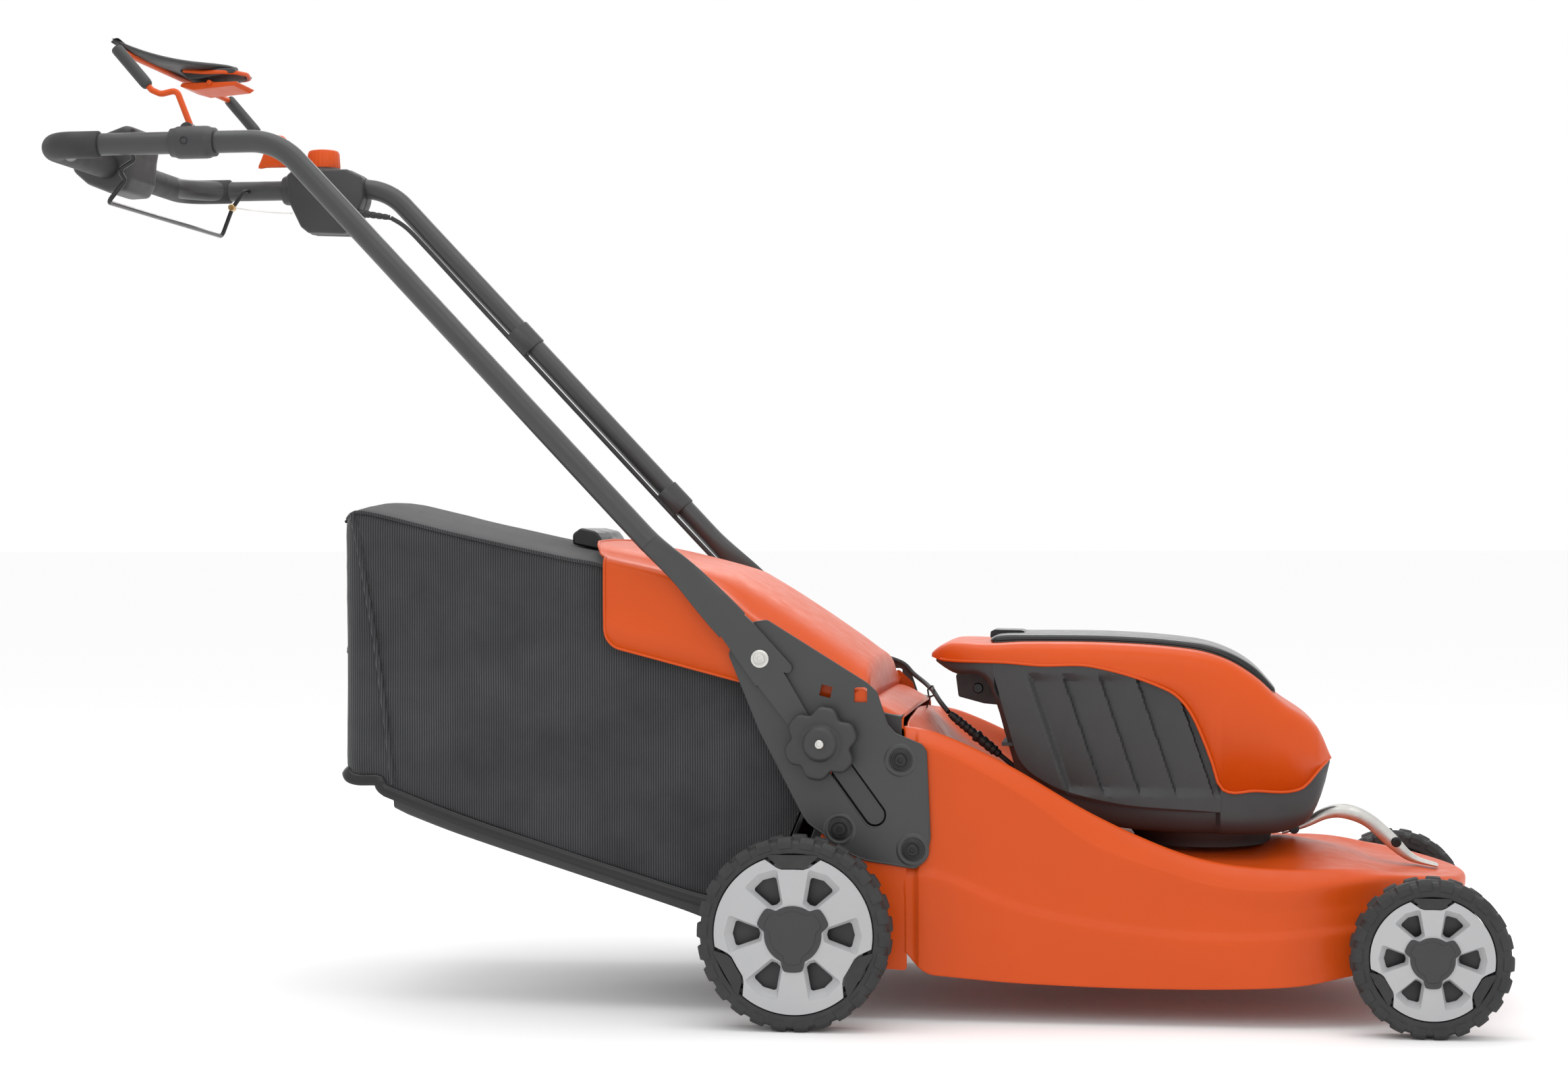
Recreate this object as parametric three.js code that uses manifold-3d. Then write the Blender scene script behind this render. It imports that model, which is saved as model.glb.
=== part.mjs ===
// Battery lawn mower with a pressed deck, four wheels, a folding loop handle and a rear grass bag.
//
// Millimetres. +X is the front of the mower, +Z is up, and the right-hand side is -Y.
// The parts are laid out from the rear axle's X and the ground, then the whole group is moved
// so that its origin is the middle of its box, on the ground.

import * as THREE from 'three';
import { mergeVertices } from 'three/addons/utils/BufferGeometryUtils.js';
import Module from 'manifold-3d';

const wasm = await Module();
wasm.setup();

// Driving dimensions.

const GAP = 0.35;
const SIDES = [['right', -1], ['left', 1]];

const REAR_WHEEL = { x: 0, radius: 105.7, rim: 87, face: 294, width: 44 };
const FRONT_WHEEL = { x: 681.7, radius: 85.4, rim: 65.7, face: 258, width: 42 };
const AXLE_RADIUS = 6;
const WHEEL_SIDES = 28;

const TUBE_RADIUS = 12.7;
const TUBE_BORE = 13.8;
const TUBE_Y = 224;
const GRIP_Z = 987;
const BEND_X = -597;
const SLANT = 0.9375;
const GRIP_BAR_X = -871;
const GRIP_CORNER = 60;
const GRIP_RADIUS = 15.5;
const GRIP_END_X = -807;

const PIVOT = { x: -46, z: 401 };
const CLAMP = { x: 23, z: 308 };
const SLOT_END = { x: 81, z: 228 };
const FLAT_Y = [211, 218];
const PLATE_Y = [207.6, 210.7];
const CHEEK_Y = [204.3, 207.2];

const DECK_REAR = 110;
const DECK_HALF_WIDTH = 207;
const DECK_NOSE_START = 500;
const DECK_NOSE_LENGTH = 243;
const DECK_STEP = 5;
const SHEET = 2.6;
const BAY_WALL_X = 656;

const MOTOR_X = 443;
const MOTOR_RADIUS = 58;
const BLADE_RADIUS = 198;
const BLADE_Z = 62;

const FLAP_HINGE = { x: 67, z: 357 };
const FLAP_HALF_WIDTH = 197;
const BAG_HALF_WIDTH = 186;
const BAG_WALL = 4;

const LID_HINGE_X = 528;
const UPPER_BAIL_PIVOT = { x: -708, z: 1004 };
const LOWER_BAIL_PIVOT = { x: -779, z: 985 };
const BAIL_LEG_Y = 193;

// Finishes.

const paint = (color, roughness, metalness) => new THREE.MeshStandardMaterial({ color, roughness,
  metalness });
const ORANGE = paint(0xd85a1a, 0.3, 0.1);
const GREY_STEEL = paint(0x4a4a4b, 0.45, 0.5);
const DARK_PLASTIC = paint(0x3a3b3c, 0.6, 0);
const GLOSS_BLACK = paint(0x1c1c1d, 0.12, 0);
const RUBBER = paint(0x2d2d2e, 0.85, 0);
const SILVER_PLASTIC = paint(0xb4b6b8, 0.4, 0.2);
const ZINC = paint(0xc9c9c7, 0.3, 0.9);
const FABRIC = paint(0x3f4041, 0.95, 0);

// Geometry helpers.

/** A closed copy with merged vertices, no degenerate faces, and its faces pointing out. */
function closed(geometry) {
  const bare = geometry.clone();
  bare.deleteAttribute('normal');
  bare.deleteAttribute('uv');
  const merged = mergeVertices(bare, 1e-3);
  const index = [];
  for (let i = 0; i < merged.index.count; i += 3) {
    const [a, b, c] = [0, 1, 2].map((k) => merged.index.getX(i + k));
    if (a !== b && b !== c && c !== a) index.push(a, b, c);
  }
  if (signedVolume(merged.attributes.position, index) < 0) index.reverse();
  merged.setIndex(index);
  return merged;
}

function signedVolume(position, index) {
  const [a, b, c] = [new THREE.Vector3(), new THREE.Vector3(), new THREE.Vector3()];
  let volume = 0;
  for (let i = 0; i < index.length; i += 3) {
    a.fromBufferAttribute(position, index[i]);
    b.fromBufferAttribute(position, index[i + 1]);
    c.fromBufferAttribute(position, index[i + 2]);
    volume += a.dot(b.cross(c)) / 6;
  }
  return volume;
}

function toSolid(geometry) {
  const shape = closed(geometry);
  return new wasm.Manifold(new wasm.Mesh({
    numProp: 3,
    vertProperties: new Float32Array(shape.attributes.position.array),
    triVerts: new Uint32Array(shape.index.array),
  }));
}

function fromSolid(solid) {
  const mesh = solid.getMesh();
  const geometry = new THREE.BufferGeometry();
  geometry.setAttribute('position', new THREE.BufferAttribute(new Float32Array(mesh.vertProperties), 3));
  geometry.setIndex(Array.from(mesh.triVerts));
  return geometry;
}

function combine(method, first, others) {
  return fromSolid(others.reduce((sum, next) => sum[method](toSolid(next)), toSolid(first)));
}

const join = (first, ...others) => combine('add', first, others);
const cut = (first, ...others) => combine('subtract', first, others);
const common = (first, ...others) => combine('intersect', first, others);

function block(x0, x1, y0, y1, z0, z1) {
  const box = new THREE.BoxGeometry(x1 - x0, y1 - y0, z1 - z0);
  return box.translate((x0 + x1) / 2, (y0 + y1) / 2, (z0 + z1) / 2);
}

/** A rod along Y between two Y values. */
function rodY(x, z, radius, y0, y1, sides = 16) {
  const rod = new THREE.CylinderGeometry(radius, radius, Math.abs(y1 - y0), sides);
  return rod.translate(x, (y0 + y1) / 2, z);
}

/** A rod or cone along Z between two heights. */
function rodZ(x, y, z0, z1, radius, sides = 16, topRadius = radius) {
  const rod = new THREE.CylinderGeometry(topRadius, radius, z1 - z0, sides);
  return rod.rotateX(Math.PI / 2).translate(x, y, (z0 + z1) / 2);
}

/** A rod between two points. */
function rodBetween(from, to, radius, sides = 10) {
  const start = new THREE.Vector3(...from);
  const span = new THREE.Vector3(...to).sub(start);
  const rod = new THREE.CylinderGeometry(radius, radius, span.length(), sides);
  rod.applyQuaternion(new THREE.Quaternion().setFromUnitVectors(new THREE.Vector3(0, 1, 0),
    span.clone().normalize()));
  return rod.translate(...start.add(span.multiplyScalar(0.5)));
}

const shapeOf = (points) => new THREE.Shape(points.map(([a, b]) => new THREE.Vector2(a, b)));

/** An outline in X and Z, given depth from y0 to y1. */
function sidePanel(outline, y0, y1) {
  const shape = outline instanceof THREE.Shape ? outline : shapeOf(outline);
  const panel = new THREE.ExtrudeGeometry(shape, { depth: y1 - y0, bevelEnabled: false, curveSegments: 8 });
  return closed(panel.rotateX(Math.PI / 2).translate(0, y1, 0));
}

/** An outline in X and Y, given height from z0 to z1. */
function planPanel(outline, z0, z1) {
  const shape = outline instanceof THREE.Shape ? outline : shapeOf(outline);
  return new THREE.ExtrudeGeometry(shape, { depth: z1 - z0, bevelEnabled: false,
    curveSegments: 8 }).translate(0, 0, z0);
}

function tube(curve, radius, steps, sides = 10) {
  const section = new THREE.Shape();
  for (let k = 0; k < sides; k += 1) {
    const angle = (2 * Math.PI * k) / sides;
    const point = [radius * Math.cos(angle), radius * Math.sin(angle)];
    if (k === 0) section.moveTo(...point);
    else section.lineTo(...point);
  }
  section.closePath();
  return new THREE.ExtrudeGeometry(section, { steps, extrudePath: curve, bevelEnabled: false });
}

/** A smooth curve through points. */
const smooth = (points) => new THREE.CatmullRomCurve3(points.map((p) => new THREE.Vector3(...p)), false,
  'centripetal');

/** A polyline whose inner corners are rounded to a radius. */
function filleted(points, radius) {
  const corners = points.map((p) => new THREE.Vector3(...p));
  const path = new THREE.CurvePath();
  let from = corners[0];
  for (let i = 1; i < corners.length - 1; i += 1) {
    const back = corners[i - 1].clone().sub(corners[i]).normalize();
    const ahead = corners[i + 1].clone().sub(corners[i]).normalize();
    const reach = radius / Math.tan(back.angleTo(ahead) / 2);
    const enter = corners[i].clone().addScaledVector(back, reach);
    const leave = corners[i].clone().addScaledVector(ahead, reach);
    path.add(new THREE.LineCurve3(from, enter));
    path.add(new THREE.QuadraticBezierCurve3(enter, corners[i], leave));
    from = leave;
  }
  path.add(new THREE.LineCurve3(from, corners[corners.length - 1]));
  return path;
}

/** A tube that follows a filleted path with few steps on its straight runs. */
function bentTube(points, cornerRadius, radius, sides = 10, cornerSteps = 5) {
  const path = filleted(points, cornerRadius);
  const stops = [];
  for (const piece of path.curves) {
    const count = piece instanceof THREE.LineCurve3 ? 1 : cornerSteps;
    for (let k = 0; k < count; k += 1) stops.push(piece.getPoint(k / count));
  }
  stops.push(path.getPoint(1));
  return sweep(stops, radius, sides);
}

/** Rings of one radius swept along stops, each ring square to the path. */
function sweep(stops, radius, sides) {
  const rings = [];
  let across = null;
  stops.forEach((stop, i) => {
    const ahead = stops[Math.min(i + 1, stops.length - 1)];
    const behind = stops[Math.max(i - 1, 0)];
    const along = ahead.clone().sub(behind).normalize();
    if (!across) across = new THREE.Vector3(0.31, 0.87, 0.38);
    across = across.clone().addScaledVector(along, -across.dot(along)).normalize();
    const up = along.clone().cross(across);
    rings.push(Array.from({ length: sides }, (_, k) => {
      const angle = (2 * Math.PI * k) / sides;
      return stop.clone().addScaledVector(across, radius * Math.cos(angle)).addScaledVector(up,
        radius * Math.sin(angle));
    }));
  });
  return loft(rings);
}

/** A closed body through rings that all have the same number of points. */
function loft(rings) {
  const count = rings[0].length;
  const position = rings.flat().flatMap((p) => [p.x, p.y, p.z]);
  const index = [];
  for (let r = 0; r + 1 < rings.length; r += 1) {
    for (let k = 0; k < count; k += 1) {
      const a = r * count + k;
      const b = r * count + ((k + 1) % count);
      index.push(a, b, b + count, a, b + count, a + count);
    }
  }
  addCap(rings[0], 0, index, true);
  addCap(rings[rings.length - 1], (rings.length - 1) * count, index, false);
  const body = new THREE.BufferGeometry();
  body.setAttribute('position', new THREE.Float32BufferAttribute(position, 3));
  body.setIndex(index);
  return closed(body);
}

function addCap(ring, offset, index, flip) {
  const middle = ring.reduce((sum, p) => sum.add(p), new THREE.Vector3()).divideScalar(ring.length);
  const normal = new THREE.Vector3();
  ring.forEach((p, k) => {
    const next = ring[(k + 1) % ring.length];
    normal.add(p.clone().sub(middle).cross(next.clone().sub(middle)));
  });
  normal.normalize();
  const helper = Math.abs(normal.z) < 0.9 ? new THREE.Vector3(0, 0, 1) : new THREE.Vector3(1, 0, 0);
  const u = helper.cross(normal).normalize();
  const v = normal.clone().cross(u);
  const flat = ring.map((p) => new THREE.Vector2(p.clone().sub(middle).dot(u),
    p.clone().sub(middle).dot(v)));
  for (const [a, b, c] of THREE.ShapeUtils.triangulateShape(flat, [])) {
    if (flip) index.push(offset + a, offset + c, offset + b);
    else index.push(offset + a, offset + b, offset + c);
  }
}

/** A smooth height or width as a function of distance, through a few points. */
function follow(points) {
  return (x) => {
    if (x <= points[0][0]) return points[0][1];
    const last = points.length - 1;
    if (x >= points[last][0]) return points[last][1];
    const i = points.findIndex(([px]) => px > x) - 1;
    const slopeAt = (k) => {
      const [before, after] = [points[Math.max(k - 1, 0)], points[Math.min(k + 1, last)]];
      return (after[1] - before[1]) / (after[0] - before[0]);
    };
    const [x0, y0] = points[i];
    const [x1, y1] = points[i + 1];
    const span = x1 - x0;
    const t = (x - x0) / span;
    return y0 * (1 + 2 * t) * (1 - t) ** 2 + slopeAt(i) * span * t * (1 - t) ** 2
      + y1 * t * t * (3 - 2 * t) + slopeAt(i + 1) * span * t * t * (t - 1);
  };
}

/** A body through mirrored half sections along X: half(x) gives [y,
  z] from the bottom edge to the middle. */
function sectionLoft(stations, half) {
  return loft(stations.map((x) => {
    const right = half(x);
    const onMiddle = right[right.length - 1][0] === 0;
    const left = right.slice(0, onMiddle ? -1 : undefined).reverse();
    return [...right.map(([y, z]) => new THREE.Vector3(x, -y, z)), ...left.map(([y, z]) =>
      new THREE.Vector3(x, y, z))];
  }));
}

const steps = (from, to, count) => Array.from({ length: count + 1 }, (_, k) =>
  from + ((to - from) * k) / count);
const flipped = (geometry, side) => (side > 0 ? geometry : closed(geometry.clone().scale(1, -1, 1)));

const mower = new THREE.Group();

function part(name, geometry, material) {
  const mesh = new THREE.Mesh(closed(geometry), material);
  mesh.name = name;
  mower.add(mesh);
  return mesh;
}

// Wheels and axles.

/** How much further out the corners of a many-sided wheel lie than its flats. */
const cornerReach = (sides) => 1 / Math.cos(Math.PI / sides);

/** A closed ring from a half profile of [radius, y] points, with a flat side at the bottom. */
function ring(profile, x, z, y, segments) {
  const points = [...profile, profile[0]].map(([r, h]) => new THREE.Vector2(r * cornerReach(segments), h));
  return new THREE.LatheGeometry(points, segments, Math.PI / segments).translate(x, y, z);
}

function tyre(wheel, side) {
  const middle = side * (wheel.face - wheel.width / 2);
  const half = wheel.width / 2;
  const inner = wheel.rim + GAP;
  const profile = [[inner, -half + 2], [wheel.radius - 6, -half], [wheel.radius, -half + 9],
    [wheel.radius, half - 9], [wheel.radius - 6, half], [inner, half - 2]];
  return ring(profile, wheel.x, wheel.radius, middle, WHEEL_SIDES);
}

/** Points of a circle with a flat side at the bottom, like the rings of a wheel. */
function circlePoints(radius, sides) {
  const reach = radius * cornerReach(sides);
  return Array.from({ length: sides }, (_, k) => {
    const angle = Math.PI / 2 + (2 * Math.PI * (k + 0.5)) / sides;
    return [reach * Math.cos(angle), reach * Math.sin(angle)];
  });
}

function rimFace(wheel) {
  const face = shapeOf(circlePoints(wheel.rim - 2, WHEEL_SIDES));
  const inner = wheel.rim * 0.46;
  const outer = wheel.rim * 0.82;
  for (let k = 0; k < 6; k += 1) {
    const middle = (Math.PI / 3) * k;
    const corners = [[inner, 0], [outer * 0.96, -0.3], [outer, 0], [outer * 0.96, 0.3]];
    face.holes.push(new THREE.Path(corners.map(([r, turn]) => new THREE.Vector2(
      r * Math.cos(middle + turn),
      r * Math.sin(middle + turn),
    ))));
  }
  return face;
}

function rim(wheel, side) {
  const middle = side * (wheel.face - wheel.width / 2);
  const half = wheel.width / 2;
  const barrel = ring([[wheel.rim - 4, -half + 4], [wheel.rim, -half + 4], [wheel.rim, half - 3],
    [wheel.rim - 4, half - 3]],
    wheel.x, wheel.radius, middle, WHEEL_SIDES);
  const outerY = side * (wheel.face - 4);
  const innerY = side * (wheel.face - 12);
  const disc = sidePanel(rimFace(wheel), Math.min(outerY, innerY), Math.max(outerY, innerY));
  disc.translate(wheel.x, 0, wheel.radius);
  const hub = rodY(wheel.x, wheel.radius, 17, side * (wheel.face - 5),
    side * (wheel.face - wheel.width + 2), 14);
  const bore = rodY(wheel.x, wheel.radius, AXLE_RADIUS + GAP, side * 150, side * 300, 10);
  const headRoom = rodY(wheel.x, wheel.radius, 11, side * (wheel.face - 10), side * 300, 10);
  return cut(join(barrel, disc, hub), bore, headRoom);
}

/** A hub cap with a round body and three lobes. */
function hubCap(wheel, side) {
  const radius = wheel.rim * 0.36;
  const outline = [];
  for (let k = 0; k < 24; k += 1) {
    const angle = (2 * Math.PI * k) / 24;
    const lobe = Math.max(0, Math.cos(3 * (angle - Math.PI / 2 - Math.PI / 3))) ** 3;
    const r = radius * (1 + 0.2 * lobe);
    outline.push([r * Math.cos(angle), r * Math.sin(angle)]);
  }
  const inner = wheel.face - 4 + GAP;
  const outer = wheel.face - 0.5;
  const disc = sidePanel(outline, Math.min(side * inner, side * outer), Math.max(side * inner,
    side * outer));
  return disc.translate(wheel.x, 0, wheel.radius);
}

function axle(wheel) {
  const end = wheel.face - 6;
  const heads = SIDES.map(([, side]) => rodY(wheel.x, wheel.radius, 10, side * (end - 3.6), side * end,
    10));
  return join(rodY(wheel.x, wheel.radius, AXLE_RADIUS, -end, end, 10), ...heads);
}

for (const [place, wheel] of [['rear', REAR_WHEEL], ['front', FRONT_WHEEL]]) {
  for (const [name, side] of SIDES) {
    part(`${place}_${name}_tyre`, tyre(wheel, side), RUBBER);
    part(`${place}_${name}_rim`, rim(wheel, side), SILVER_PLASTIC);
    part(`${place}_${name}_hub_cap`, hubCap(wheel, side), DARK_PLASTIC);
  }
  part(`${place}_axle`, axle(wheel), ZINC);
}

// Deck: a pressed shell, open underneath, with the rear cheeks that carry the bracket plates.

const deckWall = (x) => {
  const t = Math.max(0, (x - DECK_NOSE_START) / DECK_NOSE_LENGTH);
  return DECK_HALF_WIDTH * Math.sqrt(Math.max(0, 1 - t * t));
};
const deckCrest = follow([[110, 309], [146, 306], [248, 253], [319, 203], [407, 171], [459, 157],
  [529, 153], [598, 160],
  [650, 162], [743, 150]]);
const deckShoulder = follow([[110, 326], [146, 320], [223, 285], [319, 231], [404, 193], [459, 178],
  [529, 172], [598, 172],
  [650, 165], [743, 150]]);
const deckMiddle = follow([[110, 334], [127, 328], [159, 290], [233, 247], [300, 204], [380, 180],
  [500, 180], [525, 189],
  [579, 181], [609, 173], [645, 160], [743, 150]]);
const deckPocket = follow([[110, 330], [159, 290], [233, 247], [300, 204], [380, 180], [460, 170],
  [549, 166], [600, 168],
  [645, 160], [743, 150]]);
const deckCrease = follow([[110, 163], [150, 163], [248, 125], [390, 102], [494, 99], [597, 107],
  [743, 112]]);
const deckBottom = follow([[110, 56], [128, 53], [248, 45], [407, 42], [545, 47], [597, 57], [743, 74]]);

function deckSection(x, inset) {
  const wall = Math.max(deckWall(x) - inset, 4);
  const shoulder = wall - Math.min(22, wall * 0.25);
  const dish = wall - Math.min(52, wall * 0.45);
  const bottom = deckBottom(x) - (inset > 0 ? 20 : 0);
  return [
    [wall + DECK_STEP, bottom],
    [wall + DECK_STEP, deckCrease(x) - 5],
    [wall, deckCrease(x) + 4],
    [wall, deckCrest(x) - inset],
    [shoulder, deckShoulder(x) - inset],
    [dish, deckPocket(x) - inset],
    [0, deckMiddle(x) - inset],
  ];
}

const CHEEK = [[116, 308], [97, 318], [86, 352], [69, 368], [52, 360], [30, 262], [20, 200], [-4, 165],
  [-26, 132], [-26, 84],
  [20, 62], [116, 56]];

function slot(width, y0, y1) {
  const along = Math.atan2(SLOT_END.z - CLAMP.z, SLOT_END.x - CLAMP.x);
  const length = Math.hypot(SLOT_END.x - CLAMP.x, SLOT_END.z - CLAMP.z);
  const half = width / 2;
  const outline = new THREE.Shape();
  outline.absarc(0, 0, half, Math.PI / 2, 1.5 * Math.PI);
  outline.absarc(length, 0, half, -Math.PI / 2, Math.PI / 2);
  const opening = new THREE.ExtrudeGeometry(outline, { depth: y1 - y0, bevelEnabled: false,
    curveSegments: 5 });
  opening.rotateX(Math.PI / 2).rotateY(-along);
  return opening.translate(CLAMP.x, y1, CLAMP.z);
}

function deck() {
  const outerStations = [110, 135, 160, 190, 230, 270, 310, 350, 395, 440, 485, 515, 545, 580, 612, 640,
    668, 695, 715, 732,
    740];
  const chamberStations = outerStations.filter((x) => x > 112 && x < BAY_WALL_X);
  const shell = sectionLoft(outerStations, (x) => deckSection(x, 0));
  const chamber = sectionLoft([113, ...chamberStations, BAY_WALL_X - SHEET], (x) => deckSection(x, SHEET));
  const bay = sectionLoft([BAY_WALL_X, 680, 705, 725, 737], (x) => deckSection(x, SHEET));
  const cheeks = SIDES.map(([, side]) => flipped(sidePanel(CHEEK, ...CHEEK_Y), side));
  const chutePort = block(105, 118, -182, 182, 128, 300);
  const slots = SIDES.map(([, side]) => flipped(slot(33, 195, 212), side));
  const axleHoles = [REAR_WHEEL, FRONT_WHEEL].map((w) => rodY(w.x, w.radius, AXLE_RADIUS + GAP, -250,
    250, 10));
  const motorHole = rodZ(MOTOR_X, 0, 150, 200, 72, 24);
  const strapHole = rodZ(699, 0, 130, 180, 3 + GAP, 10);
  return cut(join(shell, ...cheeks), chamber, bay, chutePort, ...slots, ...axleHoles, motorHole, strapHole,
    rodY(FLAP_HINGE.x, FLAP_HINGE.z, 3 + GAP, -215, 215, 10));
}

part('deck_shell', deck(), ORANGE);

// Discharge chute between the deck's rear port and the bag.

const CHUTE = [[109.4, 127], [109.4, 336], [72, 344], [60, 338], [-14, 146], [-10, 127]];

function chute() {
  const inner = [[112, 131], [112, 332], [74, 340], [62, 336], [-20, 140], [-20, 131]];
  return cut(sidePanel(CHUTE, -190, 190), sidePanel(inner, -187, 187));
}

part('discharge_chute', chute(), DARK_PLASTIC);

// Drive unit on the rear axle.

part('drive_unit', cut(
  join(block(-26, 34, -55, 35, 80, 121), rodY(24, 100, 19, -90, -40, 16)),
  rodY(0, REAR_WHEEL.radius, AXLE_RADIUS + GAP, -200, 200, 14),
), DARK_PLASTIC);

// Bracket plates and the clamps.

function bracketPlate() {
  const outline = [[-54, 438], [-50, 443], [-39, 443], [51, 387], [72, 374], [80, 369], [84, 362],
    [95, 328], [104, 318],
    [133, 306], [138, 299], [142, 203], [137, 180], [126, 170], [72, 178], [56, 184], [8, 218],
      [2, 226], [-47, 321], [-82, 407]];
  const holes = [
    rodY(PIVOT.x, PIVOT.z, 5 + GAP, 200, 215, 12),
    slot(26, 200, 215),
    rodY(27, 365, 9, 200, 215, 4),
    block(57, 73, 200, 215, 352, 368),
  ];
  return cut(sidePanel(outline, ...PLATE_Y), ...holes);
}

function clampBolt() {
  return join(
    rodY(CLAMP.x, CLAMP.z, 5.5, 203, 240, 14),
    rodY(CLAMP.x, CLAMP.z, 15, 198, PLATE_Y[0] - GAP, 18),
    rodY(CLAMP.x, CLAMP.z, 4, 240, 243.5, 12),
  );
}

/** A star knob with six lobes. */
function knob() {
  const outline = [];
  for (let k = 0; k < 36; k += 1) {
    const angle = (2 * Math.PI * k) / 36;
    const r = 38.5 + 4 * Math.cos(6 * (angle - 0.35));
    outline.push([CLAMP.x + r * Math.cos(angle), CLAMP.z + r * Math.sin(angle)]);
  }
  const star = sidePanel(outline, FLAT_Y[1] + GAP, 233);
  const boss = rodY(CLAMP.x, CLAMP.z, 17, 232, 240, 20);
  return cut(join(star, boss), rodY(CLAMP.x, CLAMP.z, 5.5 + GAP, 210, 250, 14));
}

function pivotBolt() {
  return join(
    rodY(PIVOT.x, PIVOT.z, 5, 206, FLAT_Y[1] + 2, 12),
    rodY(PIVOT.x, PIVOT.z, 9, FLAT_Y[1] + GAP, FLAT_Y[1] + 3.2, 20),
    rodY(PIVOT.x, PIVOT.z, 8.5, 205.8, PLATE_Y[0] - GAP, 6),
  );
}

for (const [name, side] of SIDES) {
  part(`bracket_plate_${name}`, flipped(bracketPlate(), side), GREY_STEEL);
  part(`clamp_bolt_${name}`, flipped(clampBolt(), side), ZINC);
  part(`clamp_knob_${name}`, flipped(knob(), side), DARK_PLASTIC);
  part(`pivot_bolt_${name}`, flipped(pivotBolt(), side), ZINC);
}

// Handle: one bent tube, flattened at both ends, and its rubber grip.

const slantX = (z) => BEND_X + SLANT * (GRIP_Z - z);
const SLANT_LOW_Z = 442;

function handlePath() {
  const low = [slantX(SLANT_LOW_Z), SLANT_LOW_Z];
  return [
    [low[0], -TUBE_Y, low[1]],
    [BEND_X, -TUBE_Y, GRIP_Z],
    [GRIP_BAR_X, -TUBE_Y, GRIP_Z],
    [GRIP_BAR_X, TUBE_Y, GRIP_Z],
    [BEND_X, TUBE_Y, GRIP_Z],
    [low[0], TUBE_Y, low[1]],
  ];
}

/** The flattened end, with a seat that is open to the front and downwards round the clamp bolt. */
function flatEnd() {
  const outline = new THREE.Shape();
  outline.moveTo(-112, 448);
  outline.lineTo(-85, 476);
  outline.lineTo(-53, 440);
  outline.lineTo(28, 352);
  outline.absarc(CLAMP.x, CLAMP.z, 8.8, 1.78, 3.3, false);
  outline.lineTo(4, 296);
  outline.lineTo(-13, 326);
  outline.lineTo(-82, 414);
  outline.closePath();
  return cut(sidePanel(outline, ...FLAT_Y), rodY(PIVOT.x, PIVOT.z, 5 + GAP, 205, 225, 16));
}

/** A wedge that carries the round tube down to its flattened end. */
function neck() {
  const down = new THREE.Vector3(SLANT, 0, -1).normalize();
  const across = new THREE.Vector3(-down.z, 0, down.x);
  const at = (distance, half, y0, y1) => {
    const middle = new THREE.Vector3(slantX(500), 0, 500).addScaledVector(down, distance);
    return [[half, y0], [half, y1], [-half, y1], [-half, y0]].map(([s, y]) => middle.clone()
      .addScaledVector(across, s).setY(y));
  };
  return loft([at(20, 9, TUBE_Y - 9, TUBE_Y + 9), at(78, 16, FLAT_Y[0] + 0.1, TUBE_Y + 1)]);
}

function handleTube() {
  const bar = bentTube(handlePath(), GRIP_CORNER, TUBE_RADIUS, 10, 5);
  const necks = SIDES.map(([, side]) => flipped(neck(), side));
  const seats = SIDES.map(([, side]) => flipped(block(-150, 60, 190, FLAT_Y[1] + GAP, 380, 482), side));
  return cut(join(bar, ...necks), ...seats);
}

part('handle_tube', handleTube(), GREY_STEEL);
for (const [name, side] of SIDES) part(`handle_end_${name}`, flipped(flatEnd(), side), GREY_STEEL);

function rubberGrip() {
  const path = [
    [GRIP_END_X, -TUBE_Y, GRIP_Z], [GRIP_BAR_X, -TUBE_Y, GRIP_Z], [GRIP_BAR_X, TUBE_Y, GRIP_Z],
      [GRIP_END_X, TUBE_Y, GRIP_Z],
  ];
  const longer = path.map(([x, y, z]) => [x === GRIP_END_X ? x + 5 : x, y, z]);
  return cut(bentTube(path, GRIP_CORNER, GRIP_RADIUS, 10, 5), bentTube(longer, GRIP_CORNER, TUBE_BORE,
    10, 5));
}

part('rubber_grip', rubberGrip(), RUBBER);

// Control pod in the middle of the grip, with its two buttons.

function podBody() {
  const outline = [[-922, 984], [-872, 954], [-834, 956], [-824, 990], [-822, 1022], [-834, 1036],
    [-868, 1030], [-916, 1000]];
  const body = sidePanel(outline, -45, 45);
  const wells = [-14, 14].map((y) => rodZ(-856, y, 1018.5, 1060, 9, 16));
  return cut(body, rodY(GRIP_BAR_X, GRIP_Z, GRIP_RADIUS + GAP, -60, 60, 24), ...wells);
}

part('control_pod', podBody(), DARK_PLASTIC);
[['power_button', -14, GLOSS_BLACK], ['eco_button', 14, ORANGE]].forEach(([name, y, finish]) => {
  part(name, rodZ(-856, y, 1020.6, 1036.5, 8.4, 16), finish);
});

// Pivot sleeve of the upper bail on the right; the left end turns in the control box.

function pivotSleeve() {
  const shell = (radius, x0, x1) => {
    const rod = new THREE.CylinderGeometry(radius, radius, x1 - x0, 12);
    return rod.rotateZ(Math.PI / 2).translate((x0 + x1) / 2, TUBE_Y, GRIP_Z);
  };
  const boss = rodY(UPPER_BAIL_PIVOT.x, UPPER_BAIL_PIVOT.z, 8, 198, 222, 14);
  const body = join(shell(18.5, -717, -675), shell(16.5, -722, -669), boss);
  const socket = rodY(UPPER_BAIL_PIVOT.x, UPPER_BAIL_PIVOT.z, 3.6 + 2 * GAP, 190, 207, 10);
  return cut(body, shell(TUBE_BORE, -740, -650), socket, rodY(-701, GRIP_Z, 4.5, 236, 250, 12));
}

part('pivot_sleeve', flipped(pivotSleeve(), -1), DARK_PLASTIC);

// Upper bail: a bent rod, its moulded paddle, and the lock lever under the paddle.

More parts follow.
